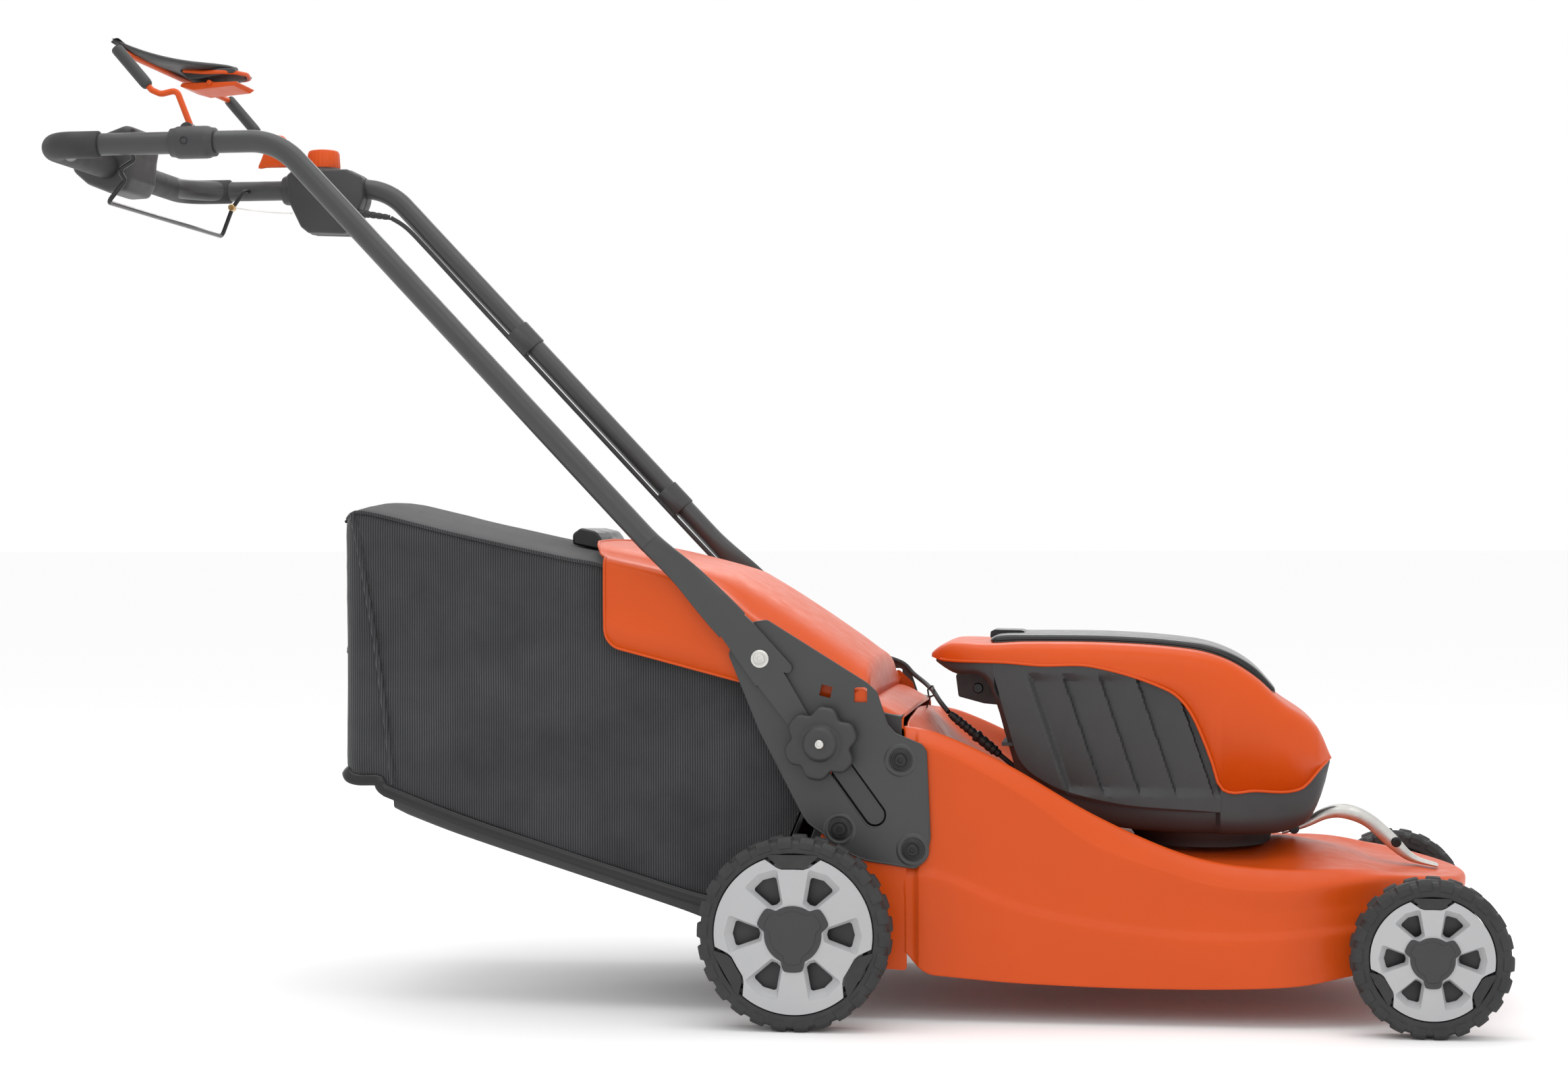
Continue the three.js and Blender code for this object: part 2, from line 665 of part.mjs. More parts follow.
const bailLeg = (side) => [
  [UPPER_BAIL_PIVOT.x, side * 206, UPPER_BAIL_PIVOT.z],
  [UPPER_BAIL_PIVOT.x, side * BAIL_LEG_Y, UPPER_BAIL_PIVOT.z],
  [-727, side * BAIL_LEG_Y, 1052],
  [-746, side * BAIL_LEG_Y, 1048],
  [-757, side * BAIL_LEG_Y, 1053],
  [-799, side * BAIL_LEG_Y, 1101],
];

const bailPath = () => [...bailLeg(-1), ...bailLeg(1).reverse()];
const upperRod = () => bentTube(bailPath(), 4, 3.6, 6, 2);

function paddleHalf(y) {
  const t = Math.abs(y) / 198;
  const front = -715 - 84 * t ** 1.6;
  const rear = -812 + 8 * t * t;
  const top = 1108 + 6 * t;
  const depth = 24 - 15 * t;
  return [[rear, top - depth * 0.9], [rear - 1, top - 6], [(rear + front) / 2, top + 3 - 2 * t],
    [front, top - depth * 0.35],
    [front - 4, top - depth * 0.75], [(rear + front) / 2, top - depth]];
}

function paddle() {
  const rings = steps(-198, 198, 12).map((y) => paddleHalf(y).map(([x, z]) => new THREE.Vector3(x, y, z)));
  const sleeves = SIDES.map(([, side]) => rodBetween([-760, side * BAIL_LEG_Y, 1056.5],
    [-801, side * BAIL_LEG_Y, 1104], 7, 8));
  const passage = bentTube(bailPath(), 4, 3.6 + 2 * GAP, 6, 2);
  const leverRoom = block(-796, -735, -37, 37, 1060, 1094);
  return cut(join(loft(rings), ...sleeves), passage, leverRoom);
}

part('upper_bail_rod', upperRod(), ORANGE);
part('upper_bail_paddle', paddle(), DARK_PLASTIC);
part('lock_lever', join(
  sidePanel([[-790, 1083], [-768, 1079], [-742, 1083], [-742, 1087], [-790, 1088]], -32, 32),
  rodY(-745, 1087, 3, -36, 36, 10),
), ORANGE);

// Lower wire bail and the wire it pulls.

const wireBailPath = () => [
  [LOWER_BAIL_PIVOT.x, -209, LOWER_BAIL_PIVOT.z],
  [LOWER_BAIL_PIVOT.x, -198, LOWER_BAIL_PIVOT.z],
  [-786, -198, 946],
  [-810, -198, 924],
  [-810, 198, 924],
  [-797, 198, 962],
  [LOWER_BAIL_PIVOT.x, 198, LOWER_BAIL_PIVOT.z],
  [LOWER_BAIL_PIVOT.x, 209, LOWER_BAIL_PIVOT.z],
];
const wireBarrel = () => rodY(-794.5, 962, 4.2, 186, 199, 10);
part('lower_wire_bail', join(bentTube(wireBailPath(), 5, 2.7, 6, 3), wireBarrel()), GLOSS_BLACK);
part('pull_wire', rodBetween([-789.8, 190, 961.5], [-718.6, 206, 955], 1.1, 8), ZINC);

// Control box on the left tube, with the speed lever on top and the strain relief in front.

function controlBox() {
  const outline = [[-722, 1012], [-716, 1014], [-628, 1014], [-621, 1009], [-622, 972], [-632, 932],
    [-645, 927], [-692, 928],
    [-704, 936], [-720, 974]];
  const socket = rodY(UPPER_BAIL_PIVOT.x, UPPER_BAIL_PIVOT.z, 3.6 + 2 * GAP, 190, 207, 10);
  const bored = new THREE.CylinderGeometry(TUBE_BORE, TUBE_BORE, 140, 10);
  bored.rotateZ(Math.PI / 2).translate(-680, TUBE_Y, GRIP_Z);
  const relief = rodBetween([-636, 204, 955], [-590, 209, 948], 5, 10);
  return cut(join(sidePanel(outline, 199, 246), relief), bored, slantedBore(), socket);
}

/** Room for the start of the tube's bend. */
function slantedBore() {
  return bentTube(handlePath().slice(2), GRIP_CORNER, TUBE_BORE, 10, 5);
}

part('control_box', controlBox(), DARK_PLASTIC);
part('speed_lever', join(
  rodZ(-683, 226, 1014.4, 1038, 21, 16, 19),
  planPanel([[-768, 222], [-766, 214], [-706, 209], [-690, 212], [-690, 240], [-706, 238]], 1016, 1023),
), ORANGE);

// The lead from the control box to the motor, along the left tube.

const UPPER_LEAD = [[-588.5, 209.1, 947.5], [-568, 211, 934], [-540, 213, 905], [-500, 213, 862], [-404, 213, 759],
  [-307, 213, 655.5], [-211, 213, 553], [-150, 210, 490], [-115, 206, 459], [-90, 203.5, 436], [-66, 202.3, 418],
  [-52, 202.3, 406]];
const LOWER_LEAD = [[-41, 202.3, 395.5], [-33, 202.3, 388], [-10, 202.3, 383], [40, 202.3, 385], [72, 202.3, 377],
  [88, 198, 363], [104, 176, 353], [116, 130, 348], [124, 60, 350], [135, 22, 340], [146.6, 4, 328.4]];
part('upper_lead', tube(smooth(UPPER_LEAD), 2.9, 26, 8), RUBBER);
part('lower_lead', tube(smooth(LOWER_LEAD), 2.9, 20, 8), RUBBER);

part('lead_connector', join(
  rodBetween([148, 2.8, 327], [175, 0.8, 303], 5.5, 12),
  rodBetween([174, 1, 304], [209, 0, 277], 6.5, 12),
  rodBetween([208, 0, 277.7], [226, 0, 263.6], 3, 8),
), DARK_PLASTIC);

// Motor housing: dark base with its battery shelf, orange cover and hinged lid.

const HOUSING_STATIONS = [144, 160, 182, 202, 212, 236, 264, 300, 344, 390, 416, 435, 450, 462, 505, 545,
  566, 579];
const coverTop = follow([[132, 398], [142, 410], [156, 415], [200, 414], [241, 416], [344, 415],
  [430, 408], [469, 397],
  [502, 377], [531, 350], [571, 320], [588, 284]]);
const coverEdge = follow([[132, 396], [150, 393], [218, 392], [260, 389], [320, 388], [403, 362],
  [428, 338], [450, 288],
  [462, 249], [500, 249], [551, 250], [576, 274], [588, 283]]);
const housingHalf = follow([[132, 58], [150, 88], [200, 114], [300, 124], [440, 124], [520, 112],
  [571, 86], [588, 62]]);
const baseBottom = follow([[137, 391], [160, 379], [200, 369], [222, 300], [236, 256], [262, 232],
  [300, 216], [373, 203],
  [518, 200], [545, 206], [563, 216], [579, 249], [586, 276]]);

function coverSection(x, inset) {
  const half = housingHalf(x) - inset;
  const top = coverTop(x) - inset;
  const edge = Math.min(coverEdge(x), top - 1) - (inset > 0 ? 12 : 0);
  const shoulder = Math.min(edge + (top - edge) * 0.55, top - 0.4);
  return [[half, edge], [half, shoulder], [half * 0.9, top - (top - shoulder) * 0.35],
    [half * 0.68, top - 0.2], [0, top]];
}

function orangeCover() {
  const stations = [132, ...HOUSING_STATIONS, 588];
  const inner = stations.filter((x) => x > 150 && x < 575);
  const shell = sectionLoft(stations, (x) => coverSection(x, 0));
  const hollow = sectionLoft(inner, (x) => coverSection(x, 3));
  const bay = planPanel([[210, -84], [505, -84], [531, -74], [531, 74], [505, 84], [210, 84]], 330, 440);
  return cut(shell, hollow, bay);
}

function baseSection(x, inset) {
  const half = housingHalf(x) - 1.5 - inset;
  const bottom = baseBottom(x) + inset;
  const top = Math.max(coverEdge(x) - GAP, bottom + 1.5) + (inset > 0 ? 8 : 0);
  const turn = bottom + Math.min(45, (top - bottom) * 0.45);
  return [[0, bottom], [half * 0.62, bottom], [half * 0.9, bottom + (turn - bottom) * 0.4],
    [half, turn], [half, top]];
}

function baseShell() {
  const stations = [137, ...HOUSING_STATIONS, 586];
  const inner = HOUSING_STATIONS.filter((x) => x > 204 && x < 575);
  const outer = sectionLoft(stations, (x) => baseSection(x, 0));
  const neckRing = rodZ(MOTOR_X, 0, 181, 206, 66, 24, 74);
  const hollow = sectionLoft(inner, (x) => baseSection(x, 4));
  const throat = rodZ(MOTOR_X, 0, 170, 215, MOTOR_RADIUS + 2, 24);
  const leadHole = rodBetween([225, 0, 264.4], [245, 0, 248.7], 3 + GAP, 10);
  const shelf = block(216, 392, -112, 112, 298, 302);
  const bracket = sidePanel([[157, 372], [160, 378], [200, 374], [212, 345], [212, 338], [190, 340],
    [160, 348]], -16, 16);
  return cut(join(cut(join(outer, neckRing), hollow, throat), shelf, bracket), leadHole);
}

part('housing_base', baseShell(), DARK_PLASTIC);
part('top_cover', orangeCover(), ORANGE);

const lidTop = follow([[199, 418], [210, 423], [241, 424], [344, 423], [430, 416], [469, 406],
  [502, 387], [530, 357]]);

function lidSection(x) {
  const half = Math.min(83, 83 - Math.max(0, x - 500) * 0.35);
  const top = lidTop(x);
  const under = coverTop(x) + 1;
  return [[0, under], [half, under], [half, under + (top - under) * 0.35], [half * 0.86, top - 1.2],
    [0, top]];
}

function batteryLid() {
  const plate = sectionLoft([202, 215, 241, 290, 344, 390, 430, 455, 480, 502, 518, LID_HINGE_X],
    lidSection);
  const tab = sidePanel([[199, 417], [199, 425.5], [240, 425.5], [228, 417]], -26, 26);
  return join(plate, tab);
}

part('battery_lid', batteryLid(), GLOSS_BLACK);

// Inside the housing: the motor and two batteries.

part('motor_stator', cut(rodZ(MOTOR_X, 0, 183, 268, MOTOR_RADIUS, 24), rodZ(MOTOR_X, 0, 170, 290,
  8 + GAP, 12)), ZINC);
part('motor_shaft', rodZ(MOTOR_X, 0, 78, 262, 8, 16), ZINC);
for (const [name, side] of SIDES) {
  const cell = block(262, 392, 6, 76, 303.4, 388);
  part(`battery_${name}`, flipped(cell, side), GLOSS_BLACK);
}

// Blade set under the deck.

const bladeHalf = () => planPanel([[0, -24], [140, -24], [BLADE_RADIUS - 4, -20], [BLADE_RADIUS, 0],
  [BLADE_RADIUS - 4, 20],
  [150, 24], [0, 24]], BLADE_Z - 2, BLADE_Z + 2);

function blade() {
  const bar = join(bladeHalf(), bladeHalf().rotateZ(Math.PI));
  const wings = [0, Math.PI].map((turn) => {
    const wing = new THREE.BoxGeometry(40, 26, 3).rotateX(0.55).translate(160, 30, BLADE_Z + 7);
    return wing.rotateZ(turn);
  });
  return cut(join(bar, ...wings).translate(MOTOR_X, 0, 0), rodZ(MOTOR_X, 0, 40, 90, 5 + GAP, 14));
}

part('blade', blade(), GREY_STEEL);
part('blade_holder', cut(rodZ(MOTOR_X, 0, BLADE_Z + 2 + GAP, 96, 26, 24, 18), rodZ(MOTOR_X, 0, 77.6, 110,
  8 + GAP, 16),
  rodZ(MOTOR_X, 0, 50, 90, 5 + GAP, 14)), ZINC);
part('blade_bolt', join(rodZ(MOTOR_X, 0, BLADE_Z - 10, BLADE_Z - 2 - GAP, 11, 6), rodZ(MOTOR_X, 0,
  BLADE_Z - 5, 77.6 - GAP, 5, 14)), ZINC);

// Front carrying strap.

function carryStrap() {
  const outline = [[532, 190.5], [560, 197], [585, 204], [607, 206], [626, 200], [643, 188], [662, 169],
    [672, 162.5], [711, 154.5],
    [711, 158], [703, 160], [690, 169], [681, 179], [665, 195], [639, 214], [607, 227], [590, 226],
      [578, 220], [566, 212],
    [552, 204], [532, 194]];
  const bar = sidePanel(outline, -11, 11);
  return cut(bar, rodZ(699, 0, 130, 200, 3 + GAP, 10));
}

part('carry_strap', carryStrap(), ZINC);

// Rear flap and its hinge rod.

const flapTop = follow([[-253, 531], [-185, 520], [-96, 498], [-40, 469], [30, 422], [58, 396]]);
const flapCrease = follow([[-253, 515], [-222, 510], [-159, 493], [-99, 474], [-57, 442], [0, 405],
  [58, 366]]);
const flapSkirt = follow([[-253, 500], [-228, 470], [-224, 428], [-210, 411], [-72, 375], [0, 357],
  [58, 349]]);

function flapSection(x, inset) {
  const half = FLAP_HALF_WIDTH - inset;
  const skirt = flapSkirt(x) - (inset > 0 ? 20 : 0);
  return [[half, skirt], [half, flapCrease(x) - inset], [half * 0.9, flapCrease(x) + 6 - inset],
    [half * 0.55, (flapTop(x) * 0.7 + flapCrease(x) * 0.3) + 3 - inset], [0, flapTop(x) - inset]];
}

function rearFlap() {
  const stations = [-250, -236, -224, -210, -180, -140, -99, -57, -20, 20, 57];
  const shell = sectionLoft(stations, (x) => flapSection(x, 0));
  const hollow = sectionLoft([-260, ...stations.slice(0, -1), 50], (x) => flapSection(x, 3));
  const ears = SIDES.map(([, side]) => flipped(sidePanel([[50, 350], [67, 350.5], [73.5, 357],
    [67, 363.5], [50, 372]], 190, 194.5), side));
  return cut(join(cut(shell, hollow), ...ears), rodY(FLAP_HINGE.x, FLAP_HINGE.z, 3 + GAP, -210, 210, 12));
}

part('rear_flap', rearFlap(), ORANGE);
part('flap_rod', rodY(FLAP_HINGE.x, FLAP_HINGE.z, 3, -206.8, 206.8, 10), ZINC);

// Grass bag: fabric shell, hard tray, mouth frame and top grip.

const bagTop = follow([[-540, 562], [-523, 567], [-501, 565], [-397, 540], [-272, 513], [-228, 504],
  [-60, 425], [45, 336]]);
const bagFloor = follow([[-540, 262], [-500, 258], [-488, 250], [-476, 241], [-396, 212], [-149, 133],
  [-56, 112], [45, 112]]);
const BAG_STATIONS = [-538, -500, -476, -396, -272, -228, -149, -60];
const mouthX = (z) => -30 + ((z - 150) * 82) / 202;

function bagSection(x, inset) {
  const half = BAG_HALF_WIDTH - inset;
  const crown = 12;
  const top = bagTop(x) - inset;
  const floor = bagFloor(x) + inset;
  return [[0, floor], [half * 0.94, floor], [half, floor + 14], [half, (top + floor) / 2],
    [half, top - 10], [half * 0.93, top],
    [half * 0.5, top + crown * 0.8], [0, top + crown]];
}

/** The space behind the slanted mouth. */
const behindMouth = (offset) => sidePanel([[-600, 80], [mouthX(80) - offset, 80],
  [mouthX(600) - offset, 600], [-600, 600]],
  -230, 230);

function bagFabric() {
  const stations = [...BAG_STATIONS, 0, 44];
  const shell = common(sectionLoft(stations, (x) => bagSection(x, 0)), behindMouth(6));
  const hollow = sectionLoft([-534, ...stations.slice(1), 60], (x) => bagSection(x, BAG_WALL));
  return cut(shell, hollow);
}

function bagTray() {
  const upper = BAG_STATIONS.filter((x) => x > -490).map((x) => [x, bagFloor(x) - GAP]);
  const outline = [...upper, [-60, 95], [-75, 92], [-149, 117], [-396, 195], [-462, 219], [-474, 228]];
  return sidePanel(outline, -180, 180);
}

function bagMouth() {
  const frame = (grow, offset) => common(
    sectionLoft([-150, -60, 0, 44, 60], (x) => bagSection(x, grow)), behindMouth(offset));
  return cut(common(frame(0, 0), sidePanel([[mouthX(90) - 5.6, 90], [mouthX(90), 90],
    [mouthX(420), 420], [mouthX(420) - 5.6, 420]],
    -200, 200)), frame(8, -40));
}

part('bag_fabric', bagFabric(), FABRIC);
part('bag_tray', bagTray(), DARK_PLASTIC);
part('bag_mouth_frame', bagMouth(), GLOSS_BLACK);
part('bag_grip', cut(
  sidePanel([[-290, 520], [-290, 540], [-280, 547], [-262, 543], [-255, 534], [-255, 515]], -70, 70),
  sectionLoft([-396, -272, -228, -200], (x) => bagSection(x, -0.5)),
), DARK_PLASTIC);

// The origin is the middle of the whole mower's box, on the ground.

const bounds = new THREE.Box3().setFromObject(mower);
const middle = bounds.getCenter(new THREE.Vector3());
mower.position.set(-middle.x, -middle.y, -bounds.min.z);

export default mower;
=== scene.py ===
import math

import bmesh
import bpy
from mathutils import Matrix, Vector, noise
from mathutils.geometry import tessellate_polygon


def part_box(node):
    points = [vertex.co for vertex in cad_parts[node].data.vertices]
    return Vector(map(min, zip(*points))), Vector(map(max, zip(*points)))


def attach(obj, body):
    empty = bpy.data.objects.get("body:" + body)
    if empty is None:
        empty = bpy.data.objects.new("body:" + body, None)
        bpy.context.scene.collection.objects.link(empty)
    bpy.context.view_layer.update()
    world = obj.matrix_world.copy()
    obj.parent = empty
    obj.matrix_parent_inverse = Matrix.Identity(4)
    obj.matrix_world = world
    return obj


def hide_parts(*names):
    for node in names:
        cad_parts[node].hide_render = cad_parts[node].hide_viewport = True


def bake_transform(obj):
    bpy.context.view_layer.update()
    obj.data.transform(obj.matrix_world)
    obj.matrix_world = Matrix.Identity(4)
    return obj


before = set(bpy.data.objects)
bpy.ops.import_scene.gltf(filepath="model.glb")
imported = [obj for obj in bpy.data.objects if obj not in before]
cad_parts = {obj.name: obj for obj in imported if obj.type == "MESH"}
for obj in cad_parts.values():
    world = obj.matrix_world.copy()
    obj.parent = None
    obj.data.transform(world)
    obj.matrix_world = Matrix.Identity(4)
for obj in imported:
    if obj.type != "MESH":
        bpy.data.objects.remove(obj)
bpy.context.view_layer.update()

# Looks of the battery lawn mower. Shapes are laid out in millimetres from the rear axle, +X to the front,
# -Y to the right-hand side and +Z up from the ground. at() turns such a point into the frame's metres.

MM = 0.001
AXLE_X = sum(corner.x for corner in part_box("rear_axle")) / 2
SIDES = {"right": -1, "left": 1}


def at(point):
    return Vector((AXLE_X + point[0] * MM, point[1] * MM, point[2] * MM))


# ---------------------------------------------------------------- camera, light and floor

CAMERA_PLACE = (396.64, -3234.94, 546.45)
CAMERA_YAW, CAMERA_PITCH, CAMERA_ROLL = (math.radians(a) for a in (7.58, -0.12, -0.13))
LENS = 63.02
SHIFT = (-0.0078, -0.0019)


def make_camera():
    ahead = Vector((-math.sin(CAMERA_YAW) * math.cos(CAMERA_PITCH),
                    math.cos(CAMERA_YAW) * math.cos(CAMERA_PITCH), math.sin(CAMERA_PITCH)))
    level = Vector((math.cos(CAMERA_YAW), math.sin(CAMERA_YAW), 0))
    above = level.cross(ahead)
    right = level * math.cos(CAMERA_ROLL) + above * math.sin(CAMERA_ROLL)
    up = above * math.cos(CAMERA_ROLL) - level * math.sin(CAMERA_ROLL)
    data = bpy.data.cameras.new("camera")
    data.lens = LENS
    data.sensor_width = 36
    data.shift_x, data.shift_y = SHIFT
    camera = bpy.data.objects.new("camera", data)
    turn = Matrix((right, up, -ahead)).transposed().to_4x4()
    camera.matrix_world = Matrix.Translation(at(CAMERA_PLACE)) @ turn
    bpy.context.scene.collection.objects.link(camera)
    bpy.context.scene.camera = camera


def area_light(name, place, aim, size, power):
    data = bpy.data.lights.new(name, "AREA")
    data.shape = "RECTANGLE"
    data.size, data.size_y = size
    data.energy = power
    light = bpy.data.objects.new(name, data)
    light.location = place
    light.rotation_euler = (Vector(aim) - Vector(place)).to_track_quat("-Z", "Y").to_euler()
    bpy.context.scene.collection.objects.link(light)


def make_studio():
    world = bpy.data.worlds.new("studio")
    world.use_nodes = True
    background = world.node_tree.nodes["Background"]
    background.inputs["Color"].default_value = (1.0, 1.0, 1.0, 1)
    background.inputs["Strength"].default_value = 1.0
    bpy.context.scene.world = world
    bpy.context.scene.view_settings.view_transform = "Standard"
    area_light("overhead_softbox", (0.0, -0.3, 3.2), (0, 0, 0.3), (3.2, 2.4), 34)
    area_light("front_softbox", (0.6, -3.6, 2.4), (0.1, 0, 0.35), (2.6, 1.6), 12)
    area_light("back_softbox", (-0.6, 3.4, 2.6), (0, 0, 0.4), (3.0, 1.4), 24)
    mesh = bpy.data.meshes.new("floor")
    reach = 60
    mesh.from_pydata([(-reach, -reach, 0), (reach, -reach, 0), (reach, reach, 0), (-reach, reach, 0)], [],
                     [(0, 1, 2, 3)])
    floor = bpy.data.objects.new("floor", mesh)
    bpy.context.scene.collection.objects.link(floor)
    material = bpy.data.materials.new("floor")
    material.use_nodes = True
    shader = material.node_tree.nodes["Principled BSDF"]
    shader.inputs["Base Color"].default_value = (0.97, 0.97, 0.97, 1)
    shader.inputs["Roughness"].default_value = 1.0
    shader.inputs["Specular IOR Level"].default_value = 0.0
    mesh.materials.append(material)


# ---------------------------------------------------------------- materials


class Nodes:
    """A small helper to build one material's node tree."""

    def __init__(self, name):
        self.material = bpy.data.materials.new(name)
        self.material.use_nodes = True
        self.tree = self.material.node_tree
        self.shader = self.tree.nodes["Principled BSDF"]
        self.place = self.tree.nodes.new("ShaderNodeTexCoord").outputs["Object"]

    def add(self, kind, **values):
        node = self.tree.nodes.new(kind)
        for key, value in values.items():
            if hasattr(node, key):
                setattr(node, key, value)
            else:
                node.inputs[key.replace("_", " ").title()].default_value = value
        return node

    def link(self, source, target):
        self.tree.links.new(source, target)

    def noise(self, scale, detail=3.0, roughness=0.55, stretch=None):
        node = self.add("ShaderNodeTexNoise", scale=scale, detail=detail, roughness=roughness)
        place = self.place
        if stretch:
            mapping = self.add("ShaderNodeMapping")
            mapping.inputs["Scale"].default_value = stretch
            self.link(place, mapping.inputs["Vector"])
            place = mapping.outputs["Vector"]
        self.link(place, node.inputs["Vector"])
        return node.outputs["Fac"]

    def spread(self, value, low, high, start=0.3, end=0.7):
        node = self.add("ShaderNodeMapRange")
        for key, number in (("From Min", start), ("From Max", end), ("To Min", low), ("To Max", high)):
            node.inputs[key].default_value = number
        self.link(value, node.inputs["Value"])
        return node.outputs["Result"]

    def mottle(self, color, amount, scale):
        node = self.add("ShaderNodeMix", data_type="RGBA")
        dark = [c * (1 - amount) for c in color] + [1]
        light = [min(1, c * (1 + amount)) for c in color] + [1]
        node.inputs[6].default_value = dark
        node.inputs[7].default_value = light
        self.link(self.spread(self.noise(scale), 0, 1), node.inputs[0])
        return node.outputs[2]

    def bump(self, height, strength, distance, normal=None):
        node = self.add("ShaderNodeBump")
        node.inputs["Strength"].default_value = strength
        node.inputs["Distance"].default_value = distance
        self.link(height, node.inputs["Height"])
        if normal:
            self.link(normal, node.inputs["Normal"])
        return node.outputs["Normal"]


def hard_finish(name, color, rough, metal=0.0, coat=0.0, mottle=0.06, patch=9, grain=900,
                grain_depth=0.00005, grain_strength=0.25, rough_spread=0.06, wave=0.0, specular=0.5):
    """Paint, moulded plastic, rubber or metal: patchy colour and gloss, and a fine grain."""
    n = Nodes(name)
    n.shader.inputs["Metallic"].default_value = metal
    n.shader.inputs["Coat Weight"].default_value = coat
    n.shader.inputs["Coat Roughness"].default_value = 0.12
    n.shader.inputs["Specular IOR Level"].default_value = specular
    n.link(n.mottle(color, mottle, patch), n.shader.inputs["Base Color"])
    n.link(n.spread(n.noise(patch * 6, 5), rough - rough_spread, rough + rough_spread),
           n.shader.inputs["Roughness"])
    normal = n.bump(n.noise(grain, 4), grain_strength, grain_depth)
    if wave:
        normal = n.bump(n.noise(60, 1), wave, 0.0003, normal)
    n.link(normal, n.shader.inputs["Normal"])
    return n.material


def brushed(name, color, rough, stretch):
    """Zinc plate or wire: bright metal with fine drawn lines and dull patches."""
    n = Nodes(name)
    n.shader.inputs["Metallic"].default_value = 1.0
    n.link(n.mottle(color, 0.16, 35), n.shader.inputs["Base Color"])
    n.link(n.spread(n.noise(90, 6), rough - 0.09, rough + 0.12), n.shader.inputs["Roughness"])
    n.link(n.bump(n.noise(400, 3, 0.6, stretch), 0.2, 0.00006), n.shader.inputs["Normal"])
    return n.material


RIB_PITCH = 0.0028
CROSS_PITCH = 0.0011


def fabric_finish(name, color, rib_axis):
    """Ribbed woven polyester: ribs along one direction, a finer cross thread, sheen and faint dust, with
    painted shade darkening the grooves between the ribs and a painted highlight lightening their crests.
    """
    n = Nodes(name)
    waves = []
    for axis, pitch in ((rib_axis, RIB_PITCH), ("Z", CROSS_PITCH)):
        wave = n.add("ShaderNodeTexWave", wave_type="BANDS", bands_direction=axis)
        wave.inputs["Scale"].default_value = 2 * math.pi / 20 / pitch
        wave.inputs["Distortion"].default_value = 0.35
        wave.inputs["Detail"].default_value = 2
        wave.inputs["Detail Scale"].default_value = 0.6
        n.link(n.place, wave.inputs["Vector"])
        waves.append(wave.outputs["Fac"])
    depth = n.add("ShaderNodeMath", operation="MULTIPLY_ADD")
    n.link(waves[1], depth.inputs[0])
    depth.inputs[1].default_value = 0.3
    n.link(waves[0], depth.inputs[2])
    height = depth.outputs["Value"]
    # Painted shade and highlight: the base colour runs from 0.45 times the colour in the rib grooves to 1.5
    # times on the rib crests, following the rib height.
    rib_shade_tone = n.add("ShaderNodeMix", data_type="RGBA")
    rib_shade_tone.inputs[6].default_value = [c * 0.45 for c in color] + [1]
    n.link(n.spread(height, 0, 1, 0.15, 1.0), rib_shade_tone.inputs[0])
    n.link(n.mottle([c * 1.5 for c in color], 0.22, 14), rib_shade_tone.inputs[7])
    n.link(rib_shade_tone.outputs[2], n.shader.inputs["Base Color"])
    n.link(n.spread(n.noise(40, 6), 0.82, 0.97), n.shader.inputs["Roughness"])
    n.shader.inputs["Sheen Weight"].default_value = 0.25
    n.shader.inputs["Sheen Roughness"].default_value = 0.45
    n.shader.inputs["Specular IOR Level"].default_value = 0.25
    fuzz = n.bump(n.noise(1500, 3), 0.3, 0.0001)
    n.link(n.bump(height, 0.8, 0.0005, fuzz), n.shader.inputs["Normal"])
    return n.material


ORANGE = (0.6, 0.07, 0.003)
FINISH = {"deck_paint": hard_finish("deck_paint", ORANGE, 0.4, coat=0.05, specular=0.28, mottle=0.03,
                                    grain=420, grain_depth=0.00003, grain_strength=0.12, wave=0.03),
          "orange_plastic": hard_finish("orange_plastic", (0.61, 0.072, 0.003), 0.38, specular=0.3,
                                        grain=700, mottle=0.03, grain_strength=0.12),
          "grey_steel": hard_finish("grey_steel", (0.04, 0.041, 0.042), 0.38, grain=1100,
                                    grain_strength=0.45, wave=0.04),
          "dark_plastic": hard_finish("dark_plastic", (0.031, 0.0315, 0.033), 0.48, grain=1500,
                                      grain_strength=0.6, grain_depth=0.0001),
          "gloss_black": hard_finish("gloss_black", (0.012, 0.012, 0.013), 0.24, specular=0.4, grain=500,
                                     grain_strength=0.05), "rubber": hard_finish("rubber",
        (0.022, 0.022, 0.023), 0.62, grain=1300, grain_strength=0.7, grain_depth=0.00015),
          "tyre": hard_finish("tyre", (0.024, 0.0245, 0.025), 0.68, grain=900, grain_strength=0.7,
                              grain_depth=0.0002, mottle=0.16, patch=22),
          "rim_plastic": hard_finish("rim_plastic", (0.42, 0.425, 0.43), 0.42, grain=1300,
                                     grain_strength=0.35, mottle=0.03),
          "zinc": brushed("zinc", (0.62, 0.61, 0.58), 0.32, (1, 1, 12)),
          "fabric": fabric_finish("fabric_side", (0.04, 0.041, 0.043), "X"), }
FABRIC_BACK = fabric_finish("fabric_back", (0.04, 0.041, 0.043), "Y")
SOCKET_BLACK = hard_finish("socket_black", (0.006, 0.006, 0.006), 0.45)
BRASS = brushed("brass", (0.6, 0.38, 0.16), 0.3, (1, 12, 1))

# ---------------------------------------------------------------- shapes: a shape is (points in mm, faces)


def merged(*shapes):
    points, faces = [], []
    for more_points, more_faces in shapes:
        offset = len(points)
        points += [tuple(p) for p in more_points]
        faces += [tuple(i + offset for i in face) for face in more_faces]
    return points, faces


def on_side(shape, side):
    """A shape made for the left side, moved to either side."""
    points, faces = shape
    if side > 0:
        return shape
    return [(x, -y, z) for x, y, z in points], [tuple(reversed(face)) for face in faces]


def both_sides(shape):
    return merged(on_side(shape, 1), on_side(shape, -1))


